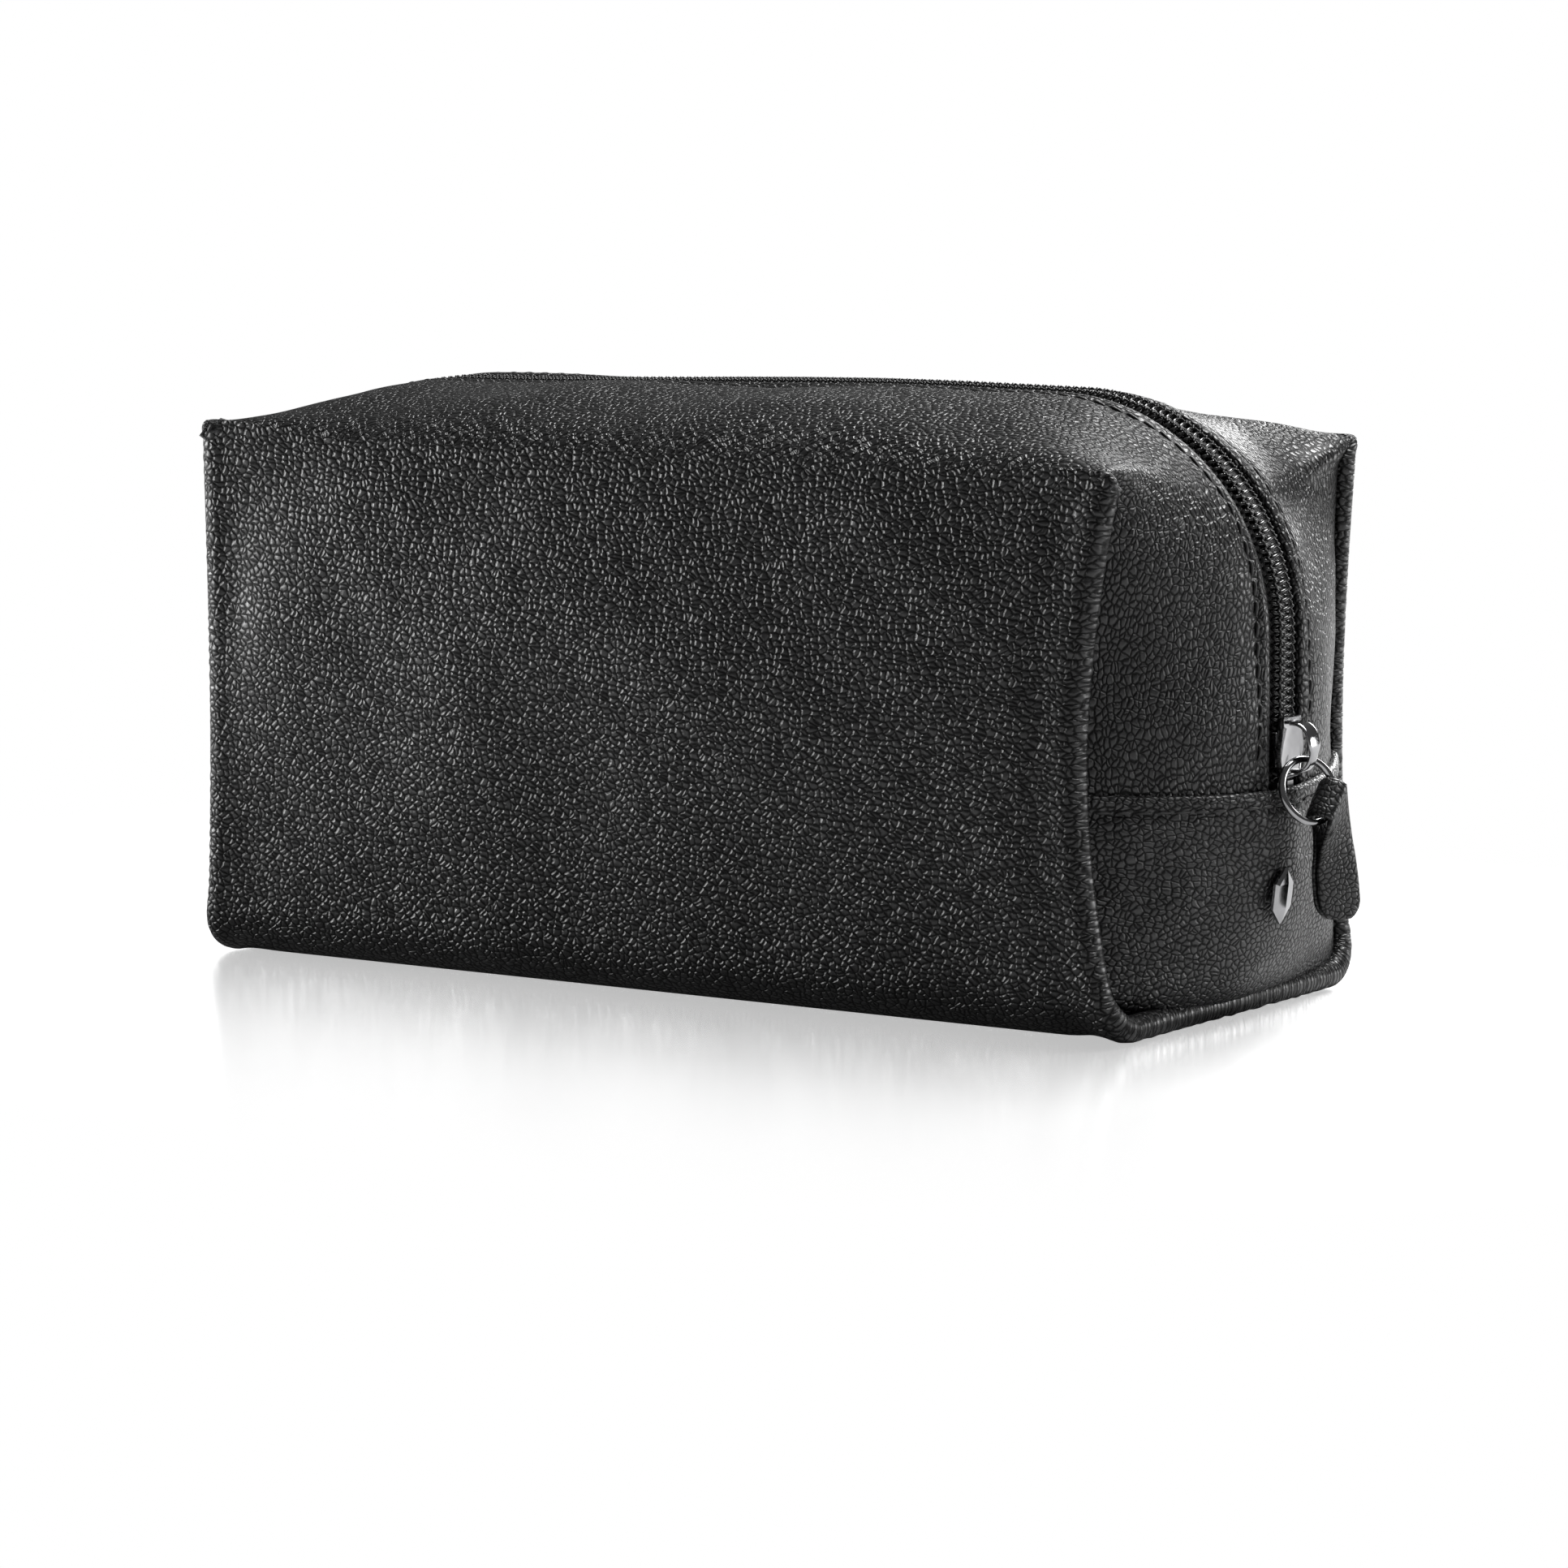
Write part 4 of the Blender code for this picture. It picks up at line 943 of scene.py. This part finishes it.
def make_end_panel(end_name):
    """Lower end panel with a folded upper edge, its stitch row, padding and lining."""
    end = ENDS[end_name]
    even = np.cos(np.linspace(0, math.pi, 97))
    columns = -even * 0.35 - 0.65 * even * np.abs(even) ** 0.35
    columns /= np.abs(columns).max()
    points, normals = panel_surface(end, np.linspace(0, 1, 84) ** 0.9, columns)
    down = arc_length(points, 0)
    along = points[..., 1]
    row = bump(down - PANEL_STITCH_INSET, PUCKER_WIDTH)
    pucker = -PUCKER * row * (1 - 0.4 * np.cos(2 * math.pi * along / STITCH_PITCH))
    lift = 0.55 * MM * bump(down - 0.6 * MM, 0.8 * MM)
    to_base = down[-1:] - down
    foot = 0.16 * MM * np.cos(2 * math.pi * along / (2.4 * MM) + 2 * waves(points, 14 * MM, 35))
    foot = foot * np.exp(-to_base / (5 * MM))
    points = points + normals * (pucker + lift + foot)[..., None]
    hem = folded_edge(points[0], np.array([0, 0, 1.0]), normals[0], 9)
    inner_at = np.linspace(2, len(points) - 1, 14).round().astype(int)
    inner = points[inner_at] - normals[inner_at] * LEATHER
    loop = np.concatenate([points[::-1], np.stack(hem), inner], 0)
    across = arc_length(loop, 1)
    across -= across[:, len(columns) // 2, None]
    grain = stack(across + end * 0.4, arc_length(loop, 0), 0)
    faces = quads(*loop.shape[:2], True, False)
    name = f"end_panel_leather_{end_name}"
    made = make_piece(name, loop, faces, "leather", "body_leather", grain)
    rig.replaces(made, f"end_panel_{end_name}")
    join_to(made, "bag")

    at = np.argmin(np.abs(down - PANEL_STITCH_INSET), axis=0)
    picks = np.arange(len(columns))
    path, facing = points[at, picks], normals[at, picks]
    inside = np.abs(path[:, 1]) < FOLD_Y - 4.5 * MM
    thread_points, thread_faces = stitches(path[inside] + facing[inside] * 0.1 * MM, facing[inside])
    name = f"panel_stitches_{end_name}"
    join_to(make_piece(name, thread_points, thread_faces, "thread", "body_leather"), "bag")

    columns = np.linspace(-LINED_SHARE, LINED_SHARE, 28)
    points, normals = panel_surface(end, np.linspace(0.12, 0.82, 22), columns, 38 * MM)
    swell = smooth((LINED_SHARE - np.abs(columns)) / 0.12)[None, :, None]
    padding, faces = slab(points, normals * (0.8 + 0.2 * swell), 2.8 * MM, 4.6 * MM)
    pad = make_piece(f"end_padding_felt_{end_name}", padding, faces, "felt", "padding")
    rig.replaces(pad, f"end_padding_{end_name}")
    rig.padded(pad, fill=0.8)
    join_to(pad, "bag")
    lining, faces = slab(points, normals, LINING_DEPTH, LINING_DEPTH + LINING)
    grain = stack(points[..., 1], arc_length(points, 0), 0).reshape(-1, 3)
    cloth_piece(f"end_lining_cloth_{end_name}", points, lining, faces, grain, [f"end_lining_{end_name}"])


def cloth_piece(name, points, shell, faces, grain, nodes, body="bag", end=0):
    """Sewn cloth, declared with its own mean width and length."""
    made = make_piece(name, shell, faces, "lining", "lining", np.tile(grain, (2, 1)))
    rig.replaces(made, *nodes)
    width = float(arc_length(points, 1)[:, -1].mean())
    length = float(arc_length(points, 0)[-1].mean())
    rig.sheet(made, flat=(width, length), held="stretched")
    return join_to(made, body, end)


# ---------------------------------------------------------------- inside


def make_side_padding():
    """Felt behind the front and the back."""
    for side_name, side in SIDES.items():
        z = np.linspace(89, 12, 40) * MM
        y = np.full(len(z), side * FOLD_Y)
        share = np.linspace(-1, 1, 70)
        x = np.tile(share * (HALF_LENGTH * PADDED_SHARE), (len(z), 1))
        points, normals = wrap_points(y, z, np.full(len(z), float(side)), 0 * z, x)
        rim = smooth((1 - np.abs(share)) / 0.06)[None, :, None]
        padding, faces = slab(points, normals * (0.85 + 0.15 * rim), *FELT)
        pad = make_piece(f"{side_name}_padding_felt", padding, faces, "felt", "padding")
        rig.replaces(pad, f"{side_name}_padding")
        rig.padded(pad, fill=0.8)
        join_to(pad, "bag")


def make_body_lining():
    """Lining behind the wrap, and the bindings over its seams at both ends."""
    y, z, ny, nz = wrap_rows(98.2 * MM, 2 * MM, 10, 20)
    x = np.tile(np.linspace(-1, 1, 90) * (HALF_LENGTH * LINED_SHARE), (len(z), 1))
    points, normals = wrap_points(y, z, ny, nz, x)
    ripple = 0.2 * MM * waves(points, 24 * MM, 51)[..., None]
    # Near the fold it comes out to meet the upper lining, so no slit shows when the mouth is open.
    closer = 3.2 * MM * smooth((z - 88 * MM) / (9 * MM))[:, None, None]
    outside = points + normals * (ripple + closer)
    shell, faces = slab(outside, normals, LINING_DEPTH, LINING_DEPTH + 0.5 * MM)
    grain = stack(x, arc_length(points, 0), 0).reshape(-1, 3)
    cloth_piece("body_lining_cloth", points, shell, faces, grain, ["body_lining"])
    for end_name, end in ENDS.items():
        x = end * np.linspace(LINED_SHARE, 0.895, 5)[None, :] * wrap_end(z, end, y)[:, None]
        points, normals = wrap_points(y, z, ny, nz, x)
        shell, faces = slab(points, normals, LINING_DEPTH + 0.9 * MM, LINING_DEPTH + 1.5 * MM)
        grain = np.tile(stack(x, arc_length(points, 0), 0).reshape(-1, 3), (2, 1))
        made = make_piece(f"binding_{end_name}", shell, faces, "binding", "binding", grain)
        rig.replaces(made, f"seam_binding_{end_name}")
        join_to(made, "bag")


def make_upper_lining():
    """Lining behind each upper quarter, which bends with it."""
    for end_name, end in ENDS.items():
        for side_name, side in SIDES.items():
            shares = np.linspace(0, 0.93, 24)
            points, normals, _, match = upper_surface(end, side, shares)
            closer = 1.2 * MM * (1 - smooth(shares / 0.15))[None, :, None]  # meets the body lining
            shell, faces = slab(points + normals * closer, normals, 3 * MM, 3 * MM + LINING)
            grain = stack(match[:, None], arc_length(points, 1), 0).reshape(-1, 3)
            name = f"{side_name}_{end_name}"
            nodes = quarter_nodes(f"shoulder_lining_{name}", f"flap_lining_{side_name}", end)
            body = f"{side_name}_flap"
            cloth_piece(f"upper_lining_{name}", points, shell, faces, grain, nodes, body, end)


# ---------------------------------------------------------------- slider, ring, pull and badge


def plate(outline, x_low, x_high, rim=0.0, dish=0.0, bevel=0.25 * MM):
    """Flat plate on an outline of (y, z), with rounded edges and a dished face."""
    form = bmesh.new()
    base = form.faces.new([form.verts.new((x_low, y, z)) for y, z in outline])
    made = bmesh.ops.extrude_face_region(form, geom=[base])
    top = [item for item in made["geom"] if isinstance(item, bmesh.types.BMVert)]
    bmesh.ops.translate(form, verts=top, vec=(x_high - x_low, 0, 0))
    if rim:
        face = next(f for f in form.faces if all(v in top for v in f.verts))
        bmesh.ops.inset_region(form, faces=[face], thickness=rim, depth=0)
        bmesh.ops.translate(form, verts=list(face.verts), vec=(-dish, 0, 0))
    bmesh.ops.bevel(form, geom=list(form.edges), offset=bevel, segments=3, affect="EDGES")
    form.verts.index_update()
    points = np.array([v.co for v in form.verts])
    faces = [[v.index for v in face.verts] for face in form.faces]
    form.free()
    return points, faces


def ribbon(path, width_directions, thickness_directions, half_widths, half_thickness, power=4.0):
    """Strap with rounded edges swept along a path."""
    angles = np.linspace(0, 2 * math.pi, 28, endpoint=False)
    c, s = np.cos(angles), np.sin(angles)
    wide = np.sign(c) * np.abs(c) ** (2 / power)
    thick = np.sign(s) * np.abs(s) ** (2 / power)
    half_widths = np.broadcast_to(half_widths, path.shape[:1])[:, None, None]
    points = path[:, None] + width_directions[:, None] * wide[None, :, None] * half_widths
    points = points + thickness_directions[:, None] * thick[None, :, None] * half_thickness
    faces = quads(len(path), 28, False, True).tolist()
    last = (len(path) - 1) * 28
    return points.reshape(-1, 3), [*faces, list(range(28)), list(range(last, last + 28))]


def make_slider():
    """Slider body: a top plate, a narrower one below, the neck between them and two flanges."""
    low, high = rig.box("slider_body")
    top_x = high.x
    plate_x = top_x - 1.4 * MM
    length = high.z - low.z
    right = [(0.55, 0.0), (0.86, 0.07), (1.0, 0.3), (1.0, 0.52), (0.8, 0.82), (0.76, 1.0)]
    outline = [(high.y * y, low.z + length * z) for y, z in right]
    outline += [(-y, z) for y, z in reversed(outline)]
    narrow = [(y * 0.84, z) for y, z in outline]
    parts = [
        plate(outline, plate_x, top_x, 0.6 * MM, 0.5 * MM, 0.24 * MM),
        plate(narrow, low.x, low.x + 1 * MM, bevel=0.2 * MM),
    ]
    neck = [(y, z) for z in (low.z + 0.4 * MM, low.z + 3.4 * MM) for y in (-0.45 * MM, 0.45 * MM)]
    parts.append(plate([neck[0], neck[1], neck[3], neck[2]], low.x + 0.5 * MM, plate_x, bevel=0.1 * MM))
    for side in SIDES.values():
        inner, outer = side * 3.2 * MM, side * (high.y - 0.1 * MM)
        z0, z1 = low.z + 2 * MM, low.z + 0.77 * length
        flange = [(inner, z0), (outer, z0), (outer, z1), (inner, z1)]
        parts.append(plate(flange, top_x - 3 * MM, plate_x + 0.3 * MM, bevel=0.18 * MM))
    points, faces = gather(parts)
    body = make_piece("slider", points, faces, "nickel", "dark_nickel", sharp=40)
    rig.replaces(body, "slider_body")
    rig.ride(body, "slider")


def make_slider_strap():
    """Bowed strap on the slider, which holds the ring."""
    crown_low, crown_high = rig.box("slider_crown")
    angle = np.linspace(0.02, math.pi - 0.02, 40)
    middle_z = (crown_low.z + crown_high.z) / 2
    reach = (crown_high.z - crown_low.z) / 2
    height = crown_high.x - crown_low.x - 0.4 * MM
    x = crown_low.x - 0.5 * MM + (height + 0.5 * MM) * np.sin(angle) ** 0.6
    z = middle_z - (reach - 0.4 * MM) * np.cos(angle)
    path = stack(x, 0, z)
    tangent = unit(np.gradient(path, axis=0))
    width = np.tile([0, 1.0, 0], (len(path), 1))
    # It is narrow where the ring's wire passes through and widens above it.
    half = (1.25 + 0.7 * smooth((z - crown_low.z - 3.4 * MM) / (2 * MM))) * MM
    points, faces = ribbon(path, width, np.cross(tangent, width), half, 0.4 * MM)
    crown = make_piece("slider_strap", points, faces, "nickel", "dark_nickel", sharp=50)
    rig.replaces(crown, "slider_crown")
    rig.ride(crown, "slider")


def ring_directions():
    """The ring's own directions, out of its joints: along its top wire, hanging, and its centre."""
    across = -np.array(JOINTS["ring_swing"]["axis"], float)
    outwards = np.array([across[1], -across[0], 0])
    tilt = math.radians(RING_TILT)
    hang = outwards * math.sin(tilt) - np.array([0, 0, math.cos(tilt)])
    return across, hang, np.array(JOINTS["ring_swing"]["pos_m"]) + hang * RING_RADIUS


def make_ring():
    """Round wire ring."""
    across, hang, centre = ring_directions()
    angle = np.linspace(0, 2 * math.pi, 120, endpoint=False)
    radial = across * np.sin(angle)[:, None] + hang * np.cos(angle)[:, None]
    facing = np.tile(np.cross(across, hang), (120, 1))
    points, faces = tube(centre + radial * RING_RADIUS, radial, facing, RING_WIRE, 16, True)
    ring = make_piece("ring", points, faces, "nickel", "dark_nickel")
    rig.replaces(ring, "pull_ring")
    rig.ride(ring, "ring")


def make_pull():
    """Leather strip folded round the ring and hanging plumb, skewed to suit."""
    across, _, ring_centre = ring_directions()
    loop_centre = np.array(JOINTS["pull_swing"]["pos_m"])
    axis = -np.array(JOINTS["pull_swing"]["axis"], float)
    axis = axis if axis @ across > 0 else -axis
    away = unit(loop_centre - ring_centre)
    front = np.cross(away, axis)
    facing = np.cross(across, [0, 0, 1.0])
    centres, widths, normals, halves = [], [], [], []

    def add_row(share, face):
        turn = float(np.clip(1.6 * share, 0, 1))
        width = unit(axis * (1 - turn) + across * turn)
        outwards = unit(front * (1 - turn) + facing * turn)
        opening = (PULL_LOOP_RADIUS - PULL_LAYER) * max(1 - share / 0.4, 0) ** 1.5
        half = PULL_HALF_WIDTH + 0.5 * min(1.4 * share, 1) ** 0.8
        half *= math.sqrt(max(1 - (4.9 * max(share - 0.82, 0)) ** 2, 0.02))
        centres.append(loop_centre + PULL_HANG * share + outwards * face * (PULL_LAYER + opening))
        widths.append(width)
        normals.append(outwards)
        halves.append(half * MM)

    shares = np.linspace(1, 0.04, 44)
    for share in shares:
        add_row(share, -1)
    for angle in np.linspace(0, math.pi, 20):
        direction = -away * math.sin(angle) - front * math.cos(angle)
        centres.append(loop_centre + direction * PULL_LOOP_RADIUS)
        widths.append(axis)
        normals.append(direction)
        halves.append(PULL_HALF_WIDTH * MM)
    for share in shares[::-1]:
        add_row(share, 1)
    path = np.array(centres)
    tangent = unit(np.gradient(path, axis=0))
    widths = np.array(widths)
    thick = unit(np.cross(tangent, widths))
    points, faces = ribbon(path, widths, thick, np.array(halves), PULL_THICKNESS / 2, 5.0)
    along = np.repeat(arc_length(path, 0), 28)
    side = ((points.reshape(len(path), 28, 3) - path[:, None]) * widths[:, None]).sum(-1).ravel()
    grain = stack(side + 0.7, along, 0)
    pull = make_piece("pull_strap", points, faces, "pull", "pull_leather", grain)
    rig.replaces(pull, "pull_tab")
    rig.ride(pull, "pull")

    row = len(shares) + 20 + 7
    line = path[row] + widths[row] * np.linspace(-3.2, 3.2, 20)[:, None] * MM
    outward = np.array(normals)[row]
    line = line + outward * (PULL_THICKNESS / 2 + 0.05 * MM)
    thread_points, thread_faces = stitches(line, np.tile(outward, (20, 1)), 0.0)
    thread = make_piece("pull_stitches", thread_points, thread_faces, "thread", "pull_leather")
    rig.ride(thread, "pull")


def make_badge():
    """Plain faceted badge: a long six-sided gem with a raised spine."""
    low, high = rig.box("badge")
    half_y, middle_y = (high.y - low.y) / 2, (high.y + low.y) / 2
    half_z, middle_z = (high.z - low.z) / 2, (high.z + low.z) / 2
    outline = [(0, 1), (1, 0.45), (1, -0.45), (0, -1), (-1, -0.45), (-1, 0.45)]
    lean = (high.x - low.x - 1.3 * MM) / (2 * half_z)
    face_x = (high.x + low.x) / 2 - 0.65 * MM

    def at(y, z, lift):
        return (face_x + lean * z * half_z + lift, middle_y + y * half_y, middle_z + z * half_z)

    rings = [[at(y, z, 0) for y, z in outline], [at(y, z, 0.5 * MM) for y, z in outline]]
    rings.append([at(0.78 * y, 0.86 * z, 0.95 * MM) for y, z in outline])
    points = [point for ring in rings for point in ring]
    points += [at(0, 0.42, 1.35 * MM), at(0, -0.42, 1.35 * MM)]
    faces = [[*range(6)]]
    for start in (0, 6):
        faces += [[start + i, start + (i + 1) % 6, start + 6 + (i + 1) % 6, start + 6 + i] for i in range(6)]
    upper, lower = 18, 19
    faces += [[12, 13, upper], [13, 14, lower, upper], [14, 15, lower]]
    faces += [[15, 16, lower], [16, 17, upper, lower], [17, 12, upper]]
    badge = make_piece("badge_gem", np.array(points), faces, "nickel", "dark_nickel", sharp=8)
    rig.replaces(badge, "badge")
    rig.ride(badge, "bag")


def finish_cad_nodes():
    """Better materials for the CAD nodes that stay."""
    finishes = {"base_board": "board", "badge_washer": "steel", "zip_bottom_stop": "steel"}
    finishes |= {f"zip_top_stop_{side_name}": "steel" for side_name in SIDES}
    for name, finish in finishes.items():
        kept = frame["nodes"][name]
        kept.data.materials.clear()
        kept.data.materials.append(FINISHES[finish])


# ---------------------------------------------------------------- studio

ROOM_LIGHT = 0.12
MIRROR_SHARE = 0.5  # of the floor's brightness, where the bag stands
MIRROR_REACH = 150 * MM
FLOOR_GAP = 0.6 * MM
LOOK_AT = Vector((0, 0, 0.05))
CAMERA_AZIMUTH, CAMERA_ELEVATION, CAMERA_DISTANCE = 32.5, 7.2, 1.341
LENS, SENSOR_WIDTH = 165.7, 36
SHIFT_X, SHIFT_Y = 0.0088, -0.0538
LIGHTS = {  # azimuth, elevation, distance, size and power
    "key_left": (-74, 6, 0.9, (0.5, 0.35), 8.5),
    "top_rear": (165, 60, 1.0, (0.5, 0.4), 16),
    "rear_low": (186, 12, 1.0, (0.4, 0.25), 3.4),
    "shoulder": (118, 56, 0.9, (0.45, 0.45), 4.5),
    "right_low": (132, 2, 0.9, (0.4, 0.25), 2.5),
}


def direction(azimuth, elevation):
    a, e = math.radians(azimuth), math.radians(elevation)
    return Vector((math.sin(a) * math.cos(e), -math.cos(a) * math.cos(e), math.sin(e)))


def add_light(name, azimuth, elevation, distance, size, power):
    data = bpy.data.lights.new(name, "AREA")
    data.shape = "RECTANGLE"
    data.size, data.size_y = size
    data.energy = power
    lamp = place(name, data)
    towards = direction(azimuth, elevation)
    lamp.location = LOOK_AT + towards * distance
    lamp.rotation_euler = towards.to_track_quat("Z", "Y").to_euler()


def make_floor():
    """White floor that mirrors the bag faintly, less and less away from where it stands."""
    mesh = bpy.data.meshes.new("floor")
    half = 40.0  # metres, so that its edge is never in view
    corners = [(-half, -half, 0), (half, -half, 0), (half, half, 0), (-half, half, 0)]
    mesh.from_pydata(corners, [], [(0, 1, 2, 3)])
    made, tree, shader = new_material("floor")
    coordinates = node(tree, "ShaderNodeTexCoord").outputs["Object"]
    beyond = node(tree, "ShaderNodeVectorMath", {"operation": "ABSOLUTE"}, i0=coordinates).outputs[0]
    footprint = (HALF_LENGTH, FOLD_Y, 1.0)
    beyond = node(tree, "ShaderNodeVectorMath", {"operation": "SUBTRACT"}, i0=beyond, i1=footprint)
    beyond = node(tree, "ShaderNodeVectorMath", {"operation": "MAXIMUM"}, i0=beyond.outputs[0], i1=(0, 0, 0))
    away = node(tree, "ShaderNodeVectorMath", {"operation": "LENGTH"}, i0=beyond.outputs[0]).outputs["Value"]
    share = ramp_between(tree, away, 0.0, MIRROR_REACH, MIRROR_SHARE, 0.0)
    white = node(tree, "ShaderNodeEmission", None, Color=(1, 1, 1, 1), Strength=1.0)
    even = 1 / ROOM_LIGHT
    mirror = node(tree, "ShaderNodeBsdfGlossy", None, Color=(even, even, even, 1), Roughness=0.2)
    seen = node(tree, "ShaderNodeMixShader", None, Fac=share)
    tree.links.new(white.outputs[0], seen.inputs[1])
    tree.links.new(mirror.outputs[0], seen.inputs[2])
    mottle = noise(tree, coordinates, 3.0, 2.0).outputs["Fac"]
    matt_colour = mix_colour(tree, mottle, grey(0.55), grey(0.6))
    matt = node(tree, "ShaderNodeBsdfDiffuse", None, Color=matt_colour)
    by_camera = node(tree, "ShaderNodeLightPath").outputs["Is Camera Ray"]
    both = node(tree, "ShaderNodeMixShader", None, Fac=by_camera)
    tree.links.new(matt.outputs[0], both.inputs[1])
    tree.links.new(seen.outputs[0], both.inputs[2])
    tree.links.new(both.outputs[0], tree.nodes["Material Output"].inputs["Surface"])
    tree.nodes.remove(shader)
    mesh.materials.append(made)
    floor = place("floor", mesh)
    floor.location.z = -FLOOR_GAP
    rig.stage(floor)


def make_studio():
    """Even white room, which the camera sees brighter than it lights, and five soft lights."""
    scene = bpy.context.scene
    world = bpy.data.worlds.new("studio")
    scene.world = world
    world.use_nodes = True
    tree = world.node_tree
    background = tree.nodes["Background"]
    background.inputs["Color"].default_value = (1, 1, 1, 1)
    seen = node(tree, "ShaderNodeLightPath").outputs["Is Camera Ray"]
    tree.links.new(ramp_between(tree, seen, 0, 1, ROOM_LIGHT, 1.0), background.inputs["Strength"])
    for name, values in LIGHTS.items():
        add_light(name, *values)
    scene.view_settings.view_transform = "Standard"


def make_camera():
    """Long lens from the photograph's side, with a small shift for its framing."""
    camera = bpy.data.cameras.new("camera")
    camera.lens = LENS
    camera.sensor_width = SENSOR_WIDTH
    camera.shift_x = SHIFT_X
    camera.shift_y = SHIFT_Y
    camera.clip_start = 0.1
    camera.clip_end = 20
    holder = place("camera", camera)
    towards = direction(CAMERA_AZIMUTH, CAMERA_ELEVATION)
    holder.location = LOOK_AT + towards * CAMERA_DISTANCE
    holder.rotation_euler = towards.to_track_quat("Z", "Y").to_euler()
    bpy.context.scene.camera = holder


make_wrap()
for end_name in ENDS:
    make_end_panel(end_name)
    for side_name in SIDES:
        make_upper(end_name, side_name)
        make_coil(end_name, side_name)
        make_tape(end_name, side_name)
make_side_padding()
make_body_lining()
make_upper_lining()
make_slider()
make_slider_strap()
make_ring()
make_pull()
make_badge()
finish_cad_nodes()
make_floor()
make_studio()
make_camera()

with open("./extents.json", "w") as size_file:
    boxes = {"cad": CAD_BOX, "visual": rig.bounds()}
    json.dump({name: [list(corner) for corner in box] for name, box in boxes.items()}, size_file)
